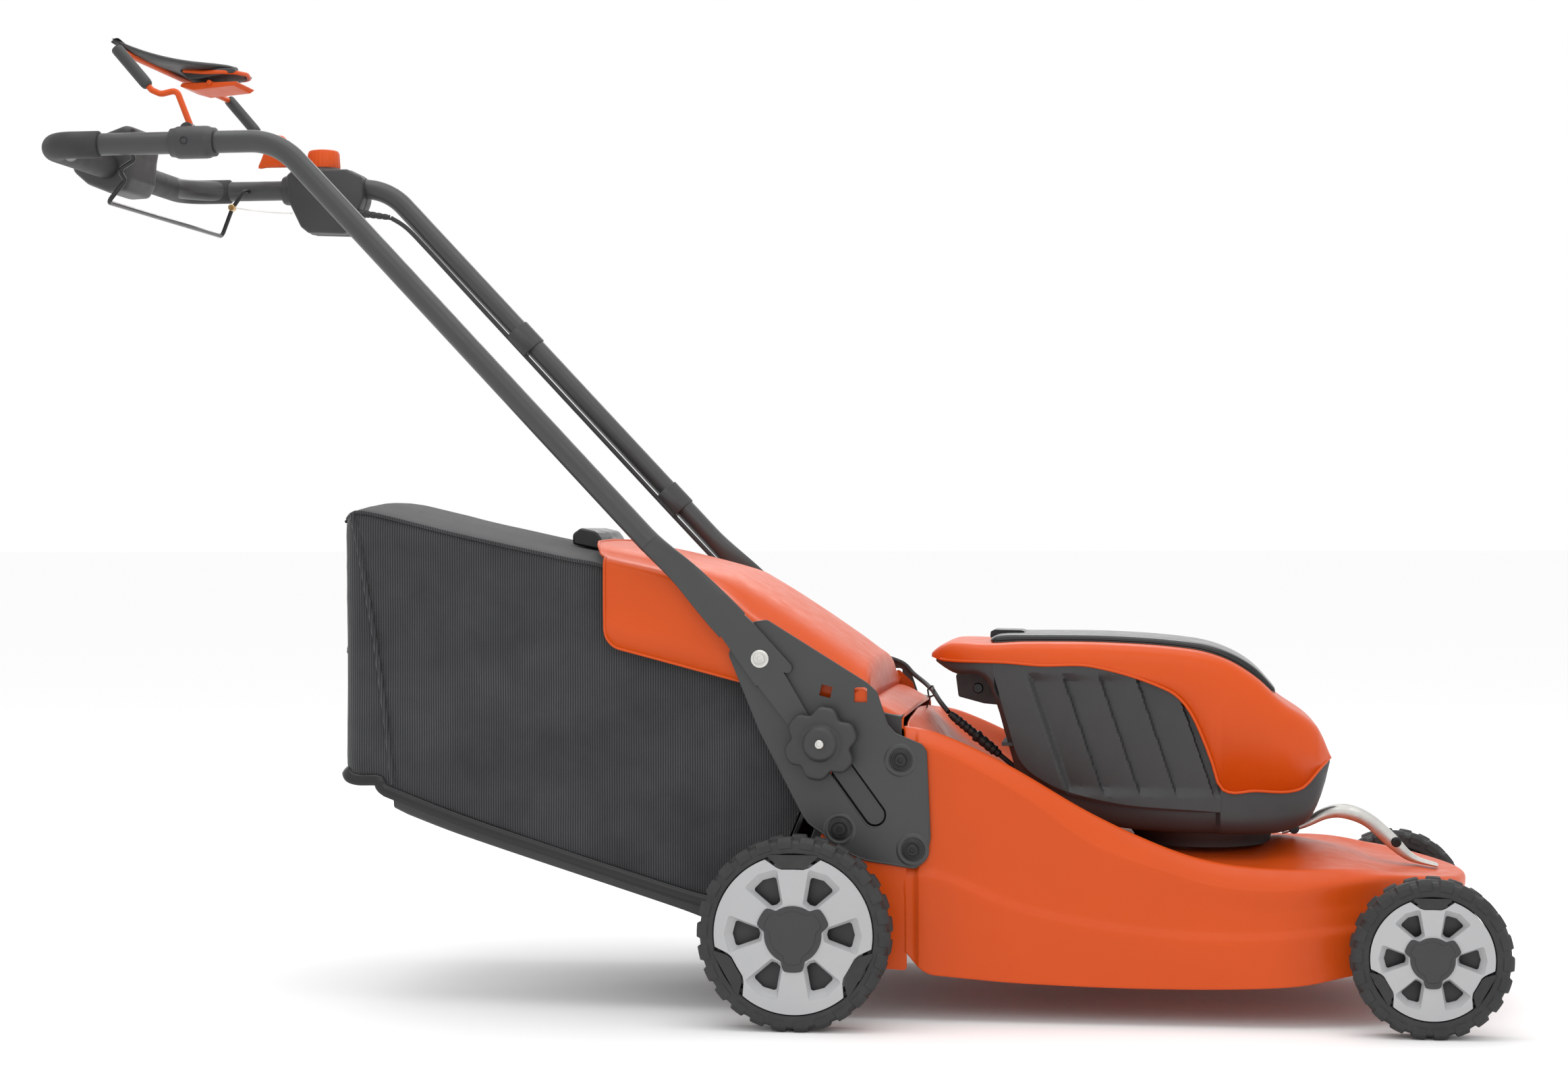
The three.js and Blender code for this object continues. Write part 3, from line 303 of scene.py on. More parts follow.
def loft(rings, closed=True, caps=True):
    count = len(rings[0])
    faces = []
    for r in range(len(rings) - 1):
        for k in range(count if closed else count - 1):
            a = r * count + k
            b = r * count + (k + 1) % count
            faces.append((a, b, b + count, a + count))
    if caps:
        faces.append(tuple(reversed(range(count))))
        faces.append(tuple(range((len(rings) - 1) * count, len(rings) * count)))
    return [tuple(p) for ring in rings for p in ring], faces


def lathe(profile, centre, axis="Y", steps=64, ring=False):
    """Turns [radius, distance] points round an axis through centre. A ring's profile closes on itself."""
    turn = [2 * math.pi * k / steps for k in range(steps)]
    cx, cy, cz = centre
    rings = []
    for r, h in profile:
        spokes = [(r * math.cos(t), r * math.sin(t)) for t in turn]
        if axis == "Y":
            rings.append([(cx + a, cy + h, cz + b) for a, b in spokes])
        elif axis == "Z":
            rings.append([(cx + a, cy + b, cz + h) for a, b in spokes])
        else:
            rings.append([(cx + h, cy + a, cz + b) for a, b in spokes])
    if ring:
        return loft(rings + [rings[0]], caps=False)
    return loft(rings)


def straight(start, end, steps):
    """Evenly spaced points from start to end."""
    start, end = Vector(start), Vector(end)
    return [start + (end - start) * k / steps for k in range(steps + 1)]


def shrunk(outline, middle, scale, y):
    """An XZ outline drawn in towards its middle, standing at y."""
    mx, mz = middle
    return [(mx + (x - mx) * scale, y, mz + (z - mz) * scale) for x, z in outline]


def arc_corner(before, corner, after, radius, steps):
    """Points that round one corner of a path."""
    back = (before - corner).normalized()
    ahead = (after - corner).normalized()
    half = back.angle(ahead) / 2
    if half > math.pi / 2 - 0.01:
        return [corner]
    reach = min(radius / math.tan(half), 0.49 * (before - corner).length, 0.49 * (after - corner).length)
    radius = reach * math.tan(half)
    centre = corner + (back + ahead).normalized() * (radius / math.sin(half))
    first = corner + back * reach - centre
    last = corner + ahead * reach - centre
    return [centre + first.slerp(last, k / steps).normalized() * radius for k in range(steps + 1)]


def fillet(points, radius, steps=8, closed=False):
    """A path with rounded corners. radius is one number, or one per corner."""
    corners = [Vector(tuple(p) + (0,) * (3 - len(p))) for p in points]
    radii = radius if isinstance(radius, (list, tuple)) else [radius] * len(corners)
    path = []
    for i, corner in enumerate(corners):
        if not closed and i in (0, len(corners) - 1) or radii[i] <= 0:
            path.append(corner)
        else:
            path += arc_corner(corners[i - 1], corner, corners[(i + 1) % len(corners)], radii[i], steps)
    return path


def spline(points, steps=8):
    """A smooth curve through points, at even steps between each pair."""
    knots = [Vector(p) for p in points]
    path = []
    for i in range(len(knots) - 1):
        p0 = knots[max(i - 1, 0)]
        p1, p2 = knots[i], knots[i + 1]
        p3 = knots[min(i + 2, len(knots) - 1)]
        for k in range(steps):
            t = k / steps
            path.append(0.5 * (2 * p1 + (p2 - p0) * t + (2 * p0 - 5 * p1 + 4 * p2 - p3) * t * t
                               + (3 * p1 - p0 - 3 * p2 + p3) * t ** 3))
    path.append(knots[-1])
    return path


def sweep(path, radius, sides=20, across=None, caps=True):
    """A tube along a path. radius is a number, or a function of the step: (half width, half height)."""
    stops = [Vector(p) for p in path]
    across = Vector(across) if across else Vector((0.31, 0.87, 0.38))
    rings = []
    for i, stop in enumerate(stops):
        along = (stops[min(i + 1, len(stops) - 1)] - stops[max(i - 1, 0)]).normalized()
        across = (across - along * across.dot(along)).normalized()
        up = along.cross(across)
        width, height = radius(i) if callable(radius) else (radius, radius)
        rings.append([stop + across * width * math.cos(2 * math.pi * k / sides)
                      + up * height * math.sin(2 * math.pi * k / sides) for k in range(sides)])
    return loft(rings, caps=caps)


def plate(outline, holes, y0, y1):
    """A flat plate: an outline in X and Z with holes, from y0 to y1."""
    loops = [[Vector((p[0], 0, p[1])) for p in loop] for loop in [outline, *holes]]
    flat = [p for loop in loops for p in loop]
    triangles = tessellate_polygon(loops)
    count = len(flat)
    points = [(p.x, y0, p.z) for p in flat] + [(p.x, y1, p.z) for p in flat]
    faces = [tuple(t) for t in triangles] + [tuple(i + count for i in reversed(t)) for t in triangles]
    start = 0
    for loop in loops:
        for k in range(len(loop)):
            a = start + k
            b = start + (k + 1) % len(loop)
            faces.append((a, b, b + count, a + count))
        start += len(loop)
    return points, faces


def follow(points):
    """A smooth height or width as a function of distance, through a few points."""
    def value(x):
        if x <= points[0][0]:
            return points[0][1]
        if x >= points[-1][0]:
            return points[-1][1]
        last = len(points) - 1
        i = max(k for k in range(last) if points[k][0] <= x)

        def slope(k):
            before, after = points[max(k - 1, 0)], points[min(k + 1, last)]
            return (after[1] - before[1]) / (after[0] - before[0])

        (x0, v0), (x1, v1) = points[i], points[i + 1]
        span = x1 - x0
        t = (x - x0) / span
        return (v0 * (1 + 2 * t) * (1 - t) ** 2 + slope(i) * span * t * (1 - t) ** 2
                + v1 * t * t * (3 - 2 * t) + slope(i + 1) * span * t * t * (t - 1))
    return value


def circle(x, z, radius, steps=32, turn=0.0):
    return [(x + radius * math.cos(turn + 2 * math.pi * k / steps),
             z + radius * math.sin(turn + 2 * math.pi * k / steps)) for k in range(steps)]


def flat_round(points, radius, steps=6):
    """A closed outline in X and Z with rounded corners."""
    return [(p.x, p.y) for p in fillet(points, radius, steps, closed=True)]


def evenly(low, high, count):
    return [low + (high - low) * k / count for k in range(count + 1)]


# ---------------------------------------------------------------- pieces


def make(name, shape, slot, body, replaces=(), bevel=0.0, bevel_steps=2, sharp=38, smooth=0, thick=0.0,
         material=None):
    """A Blender object from a shape, with its finish, its body and the CAD nodes that it stands for."""
    points, faces = shape
    mesh = bpy.data.meshes.new(name)
    mesh.from_pydata([at(p) for p in points], [], faces)
    work = bmesh.new()
    work.from_mesh(mesh)
    bmesh.ops.remove_doubles(work, verts=work.verts, dist=0.01 * MM)
    if bevel:
        bmesh.ops.dissolve_limit(work, angle_limit=math.radians(0.6), verts=work.verts, edges=work.edges)
    bmesh.ops.recalc_face_normals(work, faces=work.faces)
    work.to_mesh(mesh)
    work.free()
    obj = bpy.data.objects.new(name, mesh)
    bpy.context.scene.collection.objects.link(obj)
    mesh.materials.append(material or FINISH[slot])
    if thick:
        solid = obj.modifiers.new("thickness", "SOLIDIFY")
        solid.thickness = abs(thick) * MM
        solid.offset = -1 if thick > 0 else 1
    if bevel:
        edge = obj.modifiers.new("edges", "BEVEL")
        edge.width = bevel * MM
        edge.segments = bevel_steps
        edge.limit_method = "ANGLE"
        edge.angle_limit = math.radians(sharp)
        edge.use_clamp_overlap = True
        edge.harden_normals = False
    if smooth:
        surface = obj.modifiers.new("surface", "SUBSURF")
        surface.levels = surface.render_levels = smooth
    mesh.shade_smooth()
    mesh.set_sharp_from_angle(angle=math.radians(sharp))
    if body:
        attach(obj, body)
    if replaces:
        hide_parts(*replaces)
    return obj


def refined(node, bevel, slot, body, sharp=30):
    """The CAD node's own shape with its flat facets joined and its edges rounded."""
    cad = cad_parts[node]
    mesh = cad.data.copy()
    work = bmesh.new()
    work.from_mesh(mesh)
    bmesh.ops.remove_doubles(work, verts=work.verts, dist=0.01 * MM)
    bmesh.ops.dissolve_limit(work, angle_limit=math.radians(1), verts=work.verts, edges=work.edges)
    work.to_mesh(mesh)
    work.free()
    obj = bpy.data.objects.new(node + "_finished", mesh)
    bpy.context.scene.collection.objects.link(obj)
    mesh.materials.clear()
    mesh.materials.append(FINISH[slot])
    edge = obj.modifiers.new("edges", "BEVEL")
    edge.width = bevel * MM
    edge.segments = 2
    edge.limit_method = "ANGLE"
    edge.angle_limit = math.radians(sharp)
    mesh.shade_smooth()
    mesh.set_sharp_from_angle(angle=math.radians(sharp))
    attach(obj, body)
    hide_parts(node)
    return obj


# ---------------------------------------------------------------- wheels

WHEELS = {
    "rear": {"x": 0, "radius": 105.7, "rim": 87, "face": 294, "width": 44, "lugs": 26},
    "front": {"x": 681.7, "radius": 85.4, "rim": 65.7, "face": 258, "width": 42, "lugs": 22},
}
NOTCH_TURNS = [math.radians(a) for a in (90, 210, 330)]


def lug(turn):
    """1 on a tread block, 0 in the groove between two, with short slopes between them."""
    phase = turn % 1.0
    return max(0.0, min(1.0, min(phase, 0.72 - phase) / 0.07))


def tyre_shape(wheel):
    half = wheel["width"] / 2
    outer, inner = wheel["radius"], wheel["rim"] + 0.35
    steps = wheel["lugs"] * 14
    groove = 3.6
    rings = []
    for k in range(steps):
        angle = 2 * math.pi * k / steps
        ring = []
        for side, shift in ((-1, 0.0), (1, 0.5)):
            block = lug(k / 14 + shift)
            low = groove * (1 - block)
            profile = [(inner, half - 6), (inner + 1, half - 3.4), (inner + 4, half - 2.4),
                       (outer - 12.5, half - 2.0), (outer - 11.5, half - 2.0 + 1.6 * block),
                       (outer - 5 - low * 0.5, half - 0.9 + 0.8 * block), (outer - 1.6 - low, half - 2.2),
                       (outer - low, half - 4.4), (outer - low, half - 13),
                       (outer - low * 0.8 - 0.4, half - 15), (outer - 2.2, half - 16.5), (outer - 2.0, 3)]
            points = [(r, side * y) for r, y in profile]
            ring += points if side < 0 else points[::-1]
        middle = wheel["face"] - half
        hub_x, hub_z = wheel["x"], wheel["radius"]
        ring = [(hub_x + r * math.cos(angle), middle + y, hub_z + r * math.sin(angle)) for r, y in ring]
        rings.append(ring)
    return loft(rings + [rings[0]], caps=False)


def polar(wheel, r, turn):
    return wheel["x"] + r * math.cos(turn), wheel["radius"] + r * math.sin(turn)


def rim_outline(wheel):
    """The rim's edge: a circle with three tapered notches."""
    radius = wheel["rim"] - 0.3
    outline = []
    for notch in NOTCH_TURNS:
        start = notch + 0.36
        outline += [polar(wheel, radius, start + (2 * math.pi / 3 - 0.72) * k / 22) for k in range(23)]
        following = notch + 2 * math.pi / 3
        outline += [polar(wheel, radius * 0.86, following - 0.24),
                    polar(wheel, radius * 0.825, following - 0.17), polar(wheel, radius * 0.815, following),
                    polar(wheel, radius * 0.825, following + 0.17),
                    polar(wheel, radius * 0.86, following + 0.24)]
    return outline


def rim_window(wheel, turn, wide=False):
    radius = wheel["rim"]
    corners = [(0.44, -0.14), (0.745, -0.225), (0.77, 0), (0.745, 0.225), (0.44, 0.14), (0.42, 0)]
    if wide:
        corners = [(0.4, -0.21), (0.84, -0.285), (0.865, 0), (0.84, 0.285), (0.4, 0.21), (0.38, 0)]
    return flat_round([polar(wheel, radius * r, turn + t) for r, t in corners], radius * 0.035, 4)


def cap_outline(wheel, scale=1.0):
    radius = wheel["rim"] * 0.36 * scale
    outline = []
    for k in range(120):
        angle = 2 * math.pi * k / 120
        away = abs((angle - math.pi / 2) % (2 * math.pi / 3) - math.pi / 3)
        ear = max(0.0, min(1.0, (0.46 - away) / 0.24))
        outline.append(polar(wheel, radius * (1 + 0.3 * ear * ear * (3 - 2 * ear)), angle))
    return outline


def make_wheel(place, side_name):
    wheel, side = WHEELS[place], SIDES[side_name]
    name, body = f"{place}_{side_name}", f"{place}_{side_name}_wheel"
    face, radius = wheel["face"], wheel["rim"]
    centre = (wheel["x"], 0, wheel["radius"])
    plugs = [plate(flat_round([polar(wheel, radius * 1.05, n - 0.33), polar(wheel, radius * 0.875, n - 0.22),
                               polar(wheel, radius * 0.835, n - 0.15), polar(wheel, radius * 0.83, n),
                               polar(wheel, radius * 0.835, n + 0.15),
                               polar(wheel, radius * 0.875, n + 0.22), polar(wheel, radius * 1.05, n + 0.33)],
                              1.5, 3), [], face - 9, face - 2.4) for n in NOTCH_TURNS]
    make(f"{name}_tyre_tread", on_side(merged(tyre_shape(wheel), *plugs), side), "tyre", body,
         [f"{name}_tyre"], sharp=32)
    turns = [math.pi / 3 * k for k in range(6)]
    disc = plate(rim_outline(wheel), [rim_window(wheel, turn, True) for turn in turns], face - 5, face - 3)
    back = plate(circle(wheel["x"], wheel["radius"], radius * 0.9, 60),
                 [rim_window(wheel, turn) for turn in turns], face - 12, face - 10.5)
    funnels = [loft([[(x, y, z) for x, z in rim_window(wheel, turn, wide)] for wide, y in ((True, face - 3.8),
            (False, face - 10.6))], caps=False) for turn in turns]
    edge = loft([[(x, y, z) for x, z in rim_outline(wheel)] for y in (face - 4.8, face - 12)], caps=False)
    make(f"{name}_rim_spokes", on_side(merged(disc, back), side), "rim_plastic", body, [f"{name}_rim"],
         bevel=1.0)
    make(f"{name}_rim_funnels", on_side(merged(edge, *funnels), side), "rim_plastic", body, sharp=50)
    barrel = lathe([(radius - 0.4, face - 10), (radius - 4, face - 10),
                    (radius - 5, face - wheel["width"] / 2 + 4), (22, face - wheel["width"] / 2 - 2),
                    (20, face - wheel["width"] + 3), (9, face - wheel["width"] + 3),
                    (9, face - wheel["width"] / 2 - 4), (radius - 9, face - wheel["width"] / 2),
                    (radius - 0.4, face - wheel["width"] + 5)], centre, ring=True)
    make(f"{name}_rim_barrel", on_side(barrel, side), "dark_plastic", body, sharp=40)
    cap = plate(cap_outline(wheel), [], face - 4, face - 1.2)
    boss = plate(cap_outline(wheel, 0.8), [], face - 2, face - 0.4)
    make(f"{name}_cap", on_side(merged(cap, boss), side), "dark_plastic", body, [f"{name}_hub_cap"],
         bevel=0.9)


def axle_shape(wheel):
    end = wheel["face"] - 6
    profile = [(0, -end), (8.5, -end), (10, -end + 1), (10, -end + 3.6), (6, -end + 3.8)]
    profile += [(r, -h) for r, h in reversed(profile)]
    return lathe(profile, (wheel["x"], 0, wheel["radius"]), steps=32)


for place_name, wheel_size in WHEELS.items():
    for side_name in SIDES:
        make_wheel(place_name, side_name)
    make(f"{place_name}_axle_rod", axle_shape(wheel_size), "zinc", "chassis", [f"{place_name}_axle"])

# ---------------------------------------------------------------- deck

DECK_HALF, NOSE_START, NOSE_LENGTH, DECK_REAR = 207, 500, 243, 110
crest = follow([(110, 309), (146, 306), (248, 253), (319, 203), (407, 171), (459, 157), (529, 153),
                (598, 160), (650, 162), (743, 150)])
shoulder = follow([(110, 326), (146, 320), (223, 286), (319, 231), (404, 193), (459, 178), (529, 172),
                   (598, 172), (650, 165), (743, 150)])
deck_middle = follow([(110, 334), (127, 328), (159, 290), (233, 247), (300, 204), (380, 180), (500, 180),
                      (525, 189), (579, 181), (609, 173), (645, 160), (743, 150)])
pocket = follow([(110, 330), (159, 290), (233, 247), (300, 204), (380, 180), (460, 170), (549, 166),
                 (600, 168), (645, 160), (743, 150)])
crease = follow([(110, 163), (150, 163), (248, 125), (390, 102), (494, 99), (597, 107), (743, 112)])
deck_bottom = follow([(110, 77), (116, 77), (120, 70), (136, 54), (150, 52), (248, 45), (407, 42), (545, 47),
                      (597, 57), (743, 74)])
PORT = (182, 128, 300)


def deck_column(x, y, nx, ny):
    """Points up one line of the deck's wall and in over its top, from a point of its plan."""
    tucked = 4.5 if x < 127 else 0.0

    def out(distance, z):
        px, py = x + nx * (distance - tucked), y + ny * (distance - tucked)
        return (px, py, z(px) if callable(z) else z)
    low, fold, top = deck_bottom(x), crease(x), crest(x)
    middle_x = x if x < NOSE_START else NOSE_START + (x - NOSE_START) * 0.72
    near_x = x - nx * 52
    inner = [(near_x + (middle_x - near_x) * t, (y - ny * 52) * (1 - t)) for t in (0.22, 0.5, 0.78, 1)]
    rise = [pocket(px) + (deck_middle(px) - pocket(px)) * t for (px, _), t in zip(inner, (0.12, 0.5, 0.9, 1))]
    over_top = [(px, py, z) for (px, py), z in zip(inner, rise)]
    return [out(5.6, low - 0.5), out(5.2, low + 3), out(5, low + 8), out(5, (low + fold) / 2),
            out(5, fold - 9), out(4.7, fold - 4.5), out(3.6, fold - 1), out(0.8, fold + 4), out(0, fold + 8),
            out(-1.6, fold + 22), out(-2.4, (fold + top) / 2), out(-1.6, top - 18), out(-0.2, top - 7),
            out(-0.8, top - 2.5), out(-3.6, top + 1.2),
            out(-9, lambda px: crest(px) + (shoulder(px) - crest(px)) * 0.5),
            out(-17, lambda px: shoulder(px) - 2), out(-23, shoulder), out(-30, lambda px: shoulder(px) - 3),
            out(-40, lambda px: (shoulder(px) + pocket(px)) / 2 - 3), out(-52, pocket)] + over_top


def deck_columns():
    columns = [deck_column(x, DECK_HALF, 0, 1)
               for x in evenly(DECK_REAR, 126, 4) + evenly(128, NOSE_START, 30)[:-1]]
    for angle in [math.pi / 2 * k / 18 for k in range(19)]:
        x, y = NOSE_START + NOSE_LENGTH * math.sin(angle), DECK_HALF * math.cos(angle)
        normal = Vector((math.sin(angle) / NOSE_LENGTH, math.cos(angle) / DECK_HALF)).normalized()
        columns.append(deck_column(x, y, normal.x, normal.y))
    return columns


def deck_skin():
    columns = deck_columns()
    return both_sides(loft(columns, closed=False, caps=False))


def deck_tail():
    """The rear wall round the discharge port."""
    half = [(y, z) for _, y, z in deck_column(DECK_REAR, DECK_HALF, 0, 1)]
    edge = half + [(-y, z) for y, z in reversed(half[:-1])]
    width, low, high = PORT
    port = [(-width, low), (width, low), (width, high), (-width, high)]
    loops = [[Vector((y, z, 0)) for y, z in loop] for loop in (edge, port)]
    points = [(DECK_REAR, p.x, p.y) for loop in loops for p in loop]
    return points, [tuple(t) for t in tessellate_polygon(loops)]


CLAMP, SLOT_END, PIVOT = (23, 308), (81, 228), (-46, 401)
CHEEK = [(116, 308), (97, 318), (86, 352), (69, 368), (52, 360), (30, 262), (20, 200), (-4, 165), (-26, 132),
         (-26, 84), (20, 62), (116, 56)]


def slot_outline(width, start=CLAMP, end=SLOT_END):
    along = math.atan2(end[1] - start[1], end[0] - start[0])
    half = width / 2
    first = [(start[0] + half * math.cos(along + a), start[1] + half * math.sin(along + a))
             for a in evenly(math.pi / 2, 1.5 * math.pi, 12)]
    return first + [(end[0] + half * math.cos(along + a), end[1] + half * math.sin(along + a))
                    for a in evenly(-math.pi / 2, math.pi / 2, 12)]


def make_deck():
    make("deck_skin", merged(deck_skin(), deck_tail()), "deck_paint", "chassis", ["deck_shell"], sharp=50,
         smooth=1, thick=2.4)
    cheek = plate(flat_round(CHEEK, 4, 4), [slot_outline(33)], 204.4, 207.2)
    make("deck_cheeks", both_sides(cheek), "deck_paint", "chassis", bevel=0.5)
    hump_top = follow([(62, 350), (72, 352), (84, 349), (112, 334)])
    hump = [[(x, y, z) for y, z in ((186, 322), (186, hump_top(x) - 12), (184, hump_top(x) - 5),
                                    (178, hump_top(x) - 1), (168, hump_top(x)), (0, hump_top(x) + 1))]
            for x in evenly(64, 111, 12)]
    hump = [ring + [(x, -y, z) for x, y, z in reversed(ring[:-1])] for ring in hump]
    make("deck_rear_hump", loft(hump, closed=False, caps=False), "deck_paint", "chassis", sharp=50,
         thick=1.5)


make_deck()

# ---------------------------------------------------------------- bracket plates, clamps and pivots

PLATE_EDGE = [(-54, 441), (-39, 443), (51, 387), (72, 374), (83, 364), (95, 328), (104, 318), (133, 306),
              (138, 299), (142, 203), (137, 180), (126, 170), (72, 178), (56, 184), (8, 218), (2, 226),
              (-47, 321), (-82, 407)]
PLATE_CORNERS = [6, 6, 3, 6, 8, 12, 12, 4, 6, 6, 10, 8, 4, 8, 10, 8, 4, 8]
PLATE_BOLTS = [(110, 289), (42, 212), (123, 190)]
OUTER, INNER = 210.7, 207.6


def make_bracket(side_name):
    side = SIDES[side_name]
    outline = flat_round(PLATE_EDGE, PLATE_CORNERS, 5)
    diamond = [(27 + 9 * math.cos(a), 365 + 9 * math.sin(a))
               for a in (0.55, 0.55 + math.pi / 2, 0.55 + math.pi, 0.55 + 1.5 * math.pi)]
    square = [(58.5, 353), (73, 353), (73, 368), (70, 369.5), (61.5, 369.5), (58.5, 368)]
    body = plate(outline, [slot_outline(26), diamond, square, circle(*PIVOT, 5.5, 24)], INNER, OUTER)
    rim = sweep([(x, OUTER - 1.0, z) for x, z in outline + outline[:2]], 1.3, 8, (0, 1, 0), caps=False)
    lip = sweep([(x, OUTER - 0.8, z) for x, z in slot_outline(27.5) + slot_outline(27.5)[:2]], 1.1, 8,
                (0, 1, 0), caps=False)
    make(f"bracket_sheet_{side_name}", on_side(merged(body, rim, lip), side), "grey_steel", "chassis",
         [f"bracket_plate_{side_name}"], sharp=40)
    slide = plate(slot_outline(22), [], 205.8, 207.4)
    make(f"clamp_guide_{side_name}", on_side(slide, side), "grey_steel", "chassis", bevel=0.5)
    bolts = []
    for x, z in PLATE_BOLTS:
        washer = [(0, 0), (11.6, 0), (11.6, 1.0), (10.4, 1.9), (8.8, 2.1), (8.6, 1.2), (6.8, 1.1),
                  (6.5, 3.6), (5.6, 4.3), (3.2, 4.3), (3.0, 2.2), (0, 2.2)]
        bolts.append(lathe([(r, OUTER + h) for r, h in washer], (x, 0, z), steps=36))
    make(f"plate_bolts_{side_name}", on_side(merged(*bolts), side), "gloss_black", "chassis", sharp=28,
         material=SOCKET_BLACK)
    bosses = [lathe([(12.6, OUTER - 0.2), (13.2, OUTER + 1.1), (15.6, OUTER + 1.5), (17.6, OUTER + 0.8),
                     (18.6, OUTER - 0.2)], (x, 0, z), steps=40, ring=True) for x, z in PLATE_BOLTS]
    make(f"bolt_bosses_{side_name}", on_side(merged(*bosses), side), "grey_steel", "chassis", sharp=60)


def knob_outline(radius, wave, steps=120):
    outline = []
    for k in range(steps):
        angle = 2 * math.pi * k / steps
        lobes = math.cos(6 * (angle - 0.35))
        reach = radius + wave * (lobes - 0.28 * math.cos(12 * (angle - 0.35)))
        outline.append((CLAMP[0] + reach * math.cos(angle), CLAMP[1] + reach * math.sin(angle)))
    return outline


def make_clamp(side_name):
    side = SIDES[side_name]
    levels = [(218.6, 36.5, 3.6), (219.8, 38, 3.9), (226, 38.4, 4), (230.5, 38, 3.9), (232.6, 36.6, 3.6),
              (233.3, 34.6, 3.2), (233.5, 27, 1.2), (233, 23.5, 0), (232.4, 21.5, 0), (233.2, 19.5, 0),
              (238.6, 17.6, 0), (239.8, 16, 0), (240.1, 13.5, 0), (239.2, 9.5, 0), (238.9, 6.2, 0)]
    star = loft([[(x, y, z) for x, z in knob_outline(radius, wave)] for y, radius, wave in levels])
    make(f"clamp_star_{side_name}", on_side(star, side), "dark_plastic", f"knob_{side_name}",
         [f"clamp_knob_{side_name}"], sharp=55)
    centre = (CLAMP[0], 0, CLAMP[1])
    stud = [(0, 198.4), (13.8, 198.4), (15, 199.4), (15, 206.2), (14, 207.2), (5.5, 207.25), (5.5, 239),
            (5.1, 240.5), (4.9, 242.4), (4.2, 243.2), (2.9, 243.3), (2.6, 241.8), (0, 241.7)]
    make(f"clamp_stud_{side_name}", on_side(lathe(stud, centre, steps=32), side), "zinc",
         f"clamp_{side_name}", [f"clamp_bolt_{side_name}"], sharp=30)
    rivet = [(0, 205.9), (8, 205.9), (8, 207.2), (4.8, 207.3), (4.8, 218.3), (10, 218.4), (10, 219.2),
             (9.2, 219.7), (7.2, 219.9), (6.9, 219.3), (5.4, 219.2), (5.1, 221), (4.4, 221.4), (2.9, 221.4),
             (2.6, 220.4), (0, 220.3)]
    make(f"pivot_rivet_{side_name}", on_side(lathe(rivet, (PIVOT[0], 0, PIVOT[1]), steps=32), side), "zinc",
         "chassis", [f"pivot_bolt_{side_name}"], sharp=28)


for side_name in SIDES:
    make_bracket(side_name)
    make_clamp(side_name)

# ---------------------------------------------------------------- handle

TUBE, TUBE_Y, GRIP_Z, BEND_X, SLANT = 12.7, 224, 987, -597, 0.9375
BAR_X, GRIP_CORNER, UPPER_BEND = -871, 77, 75
FLAT_START, FLAT_END = 530, 452
FLAT_SIDES = (211.1, 217.9)
HOOK_RADIUS = 8.8


def slant_x(z):
    return BEND_X + SLANT * (GRIP_Z - z)


def flat_end():
    """The flattened end of the tube, with a hook that opens forwards round the clamp bolt."""
    hook = [(CLAMP[0] + HOOK_RADIUS * math.cos(a), CLAMP[1] + HOOK_RADIUS * math.sin(a))
            for a in evenly(1.78, 3.3, 12)]
    front = flat_round([(-108, 450), (-87, 472), (-53, 440), (28, 352)], [2, 2, 10, 6], 5)
    rear = flat_round([(4, 296), (-13, 326), (-82, 414)], [3, 20, 14], 5)
    return plate(front + hook + rear, [], *FLAT_SIDES)


def tube_end():
    """Round tube pressed flat towards its lower end."""
    down = Vector((SLANT, 0, -1)).normalized()
    rings = []
    for k in range(15):
        t = k / 14
        z = FLAT_START + 8 - (FLAT_START + 8 - FLAT_END + 14) * t
        spread = t * t * (3 - 2 * t)
        press = min(1.0, t * 2)
        press = press * press * (3 - 2 * press)
        centre = Vector((slant_x(z) + 5 * press, TUBE_Y + (214.5 - TUBE_Y) * press, z))
        wide, thin = TUBE + (20 - TUBE) * spread, TUBE + (3.4 - TUBE) * press
        across = Vector((-down.z, 0, down.x))
        power = 1 - 0.35 * press
        ring = []
        for s in range(32):
            c, v = math.cos(2 * math.pi * s / 32), math.sin(2 * math.pi * s / 32)
            ring.append(centre + across * wide * math.copysign(abs(c) ** power, c)
                        + Vector((0, 1, 0)) * thin * math.copysign(abs(v) ** power, v))
        rings.append(ring)
    return loft(rings)


def handle_path(margin=0):
    low = (slant_x(FLAT_START + margin), FLAT_START + margin)
    corners = [(low[0], -TUBE_Y, low[1]), (BEND_X, -TUBE_Y, GRIP_Z), (BAR_X, -TUBE_Y, GRIP_Z),
               (BAR_X, TUBE_Y, GRIP_Z), (BEND_X, TUBE_Y, GRIP_Z), (low[0], TUBE_Y, low[1])]
    return fillet(corners, [0, UPPER_BEND, GRIP_CORNER, GRIP_CORNER, UPPER_BEND, 0], 14)


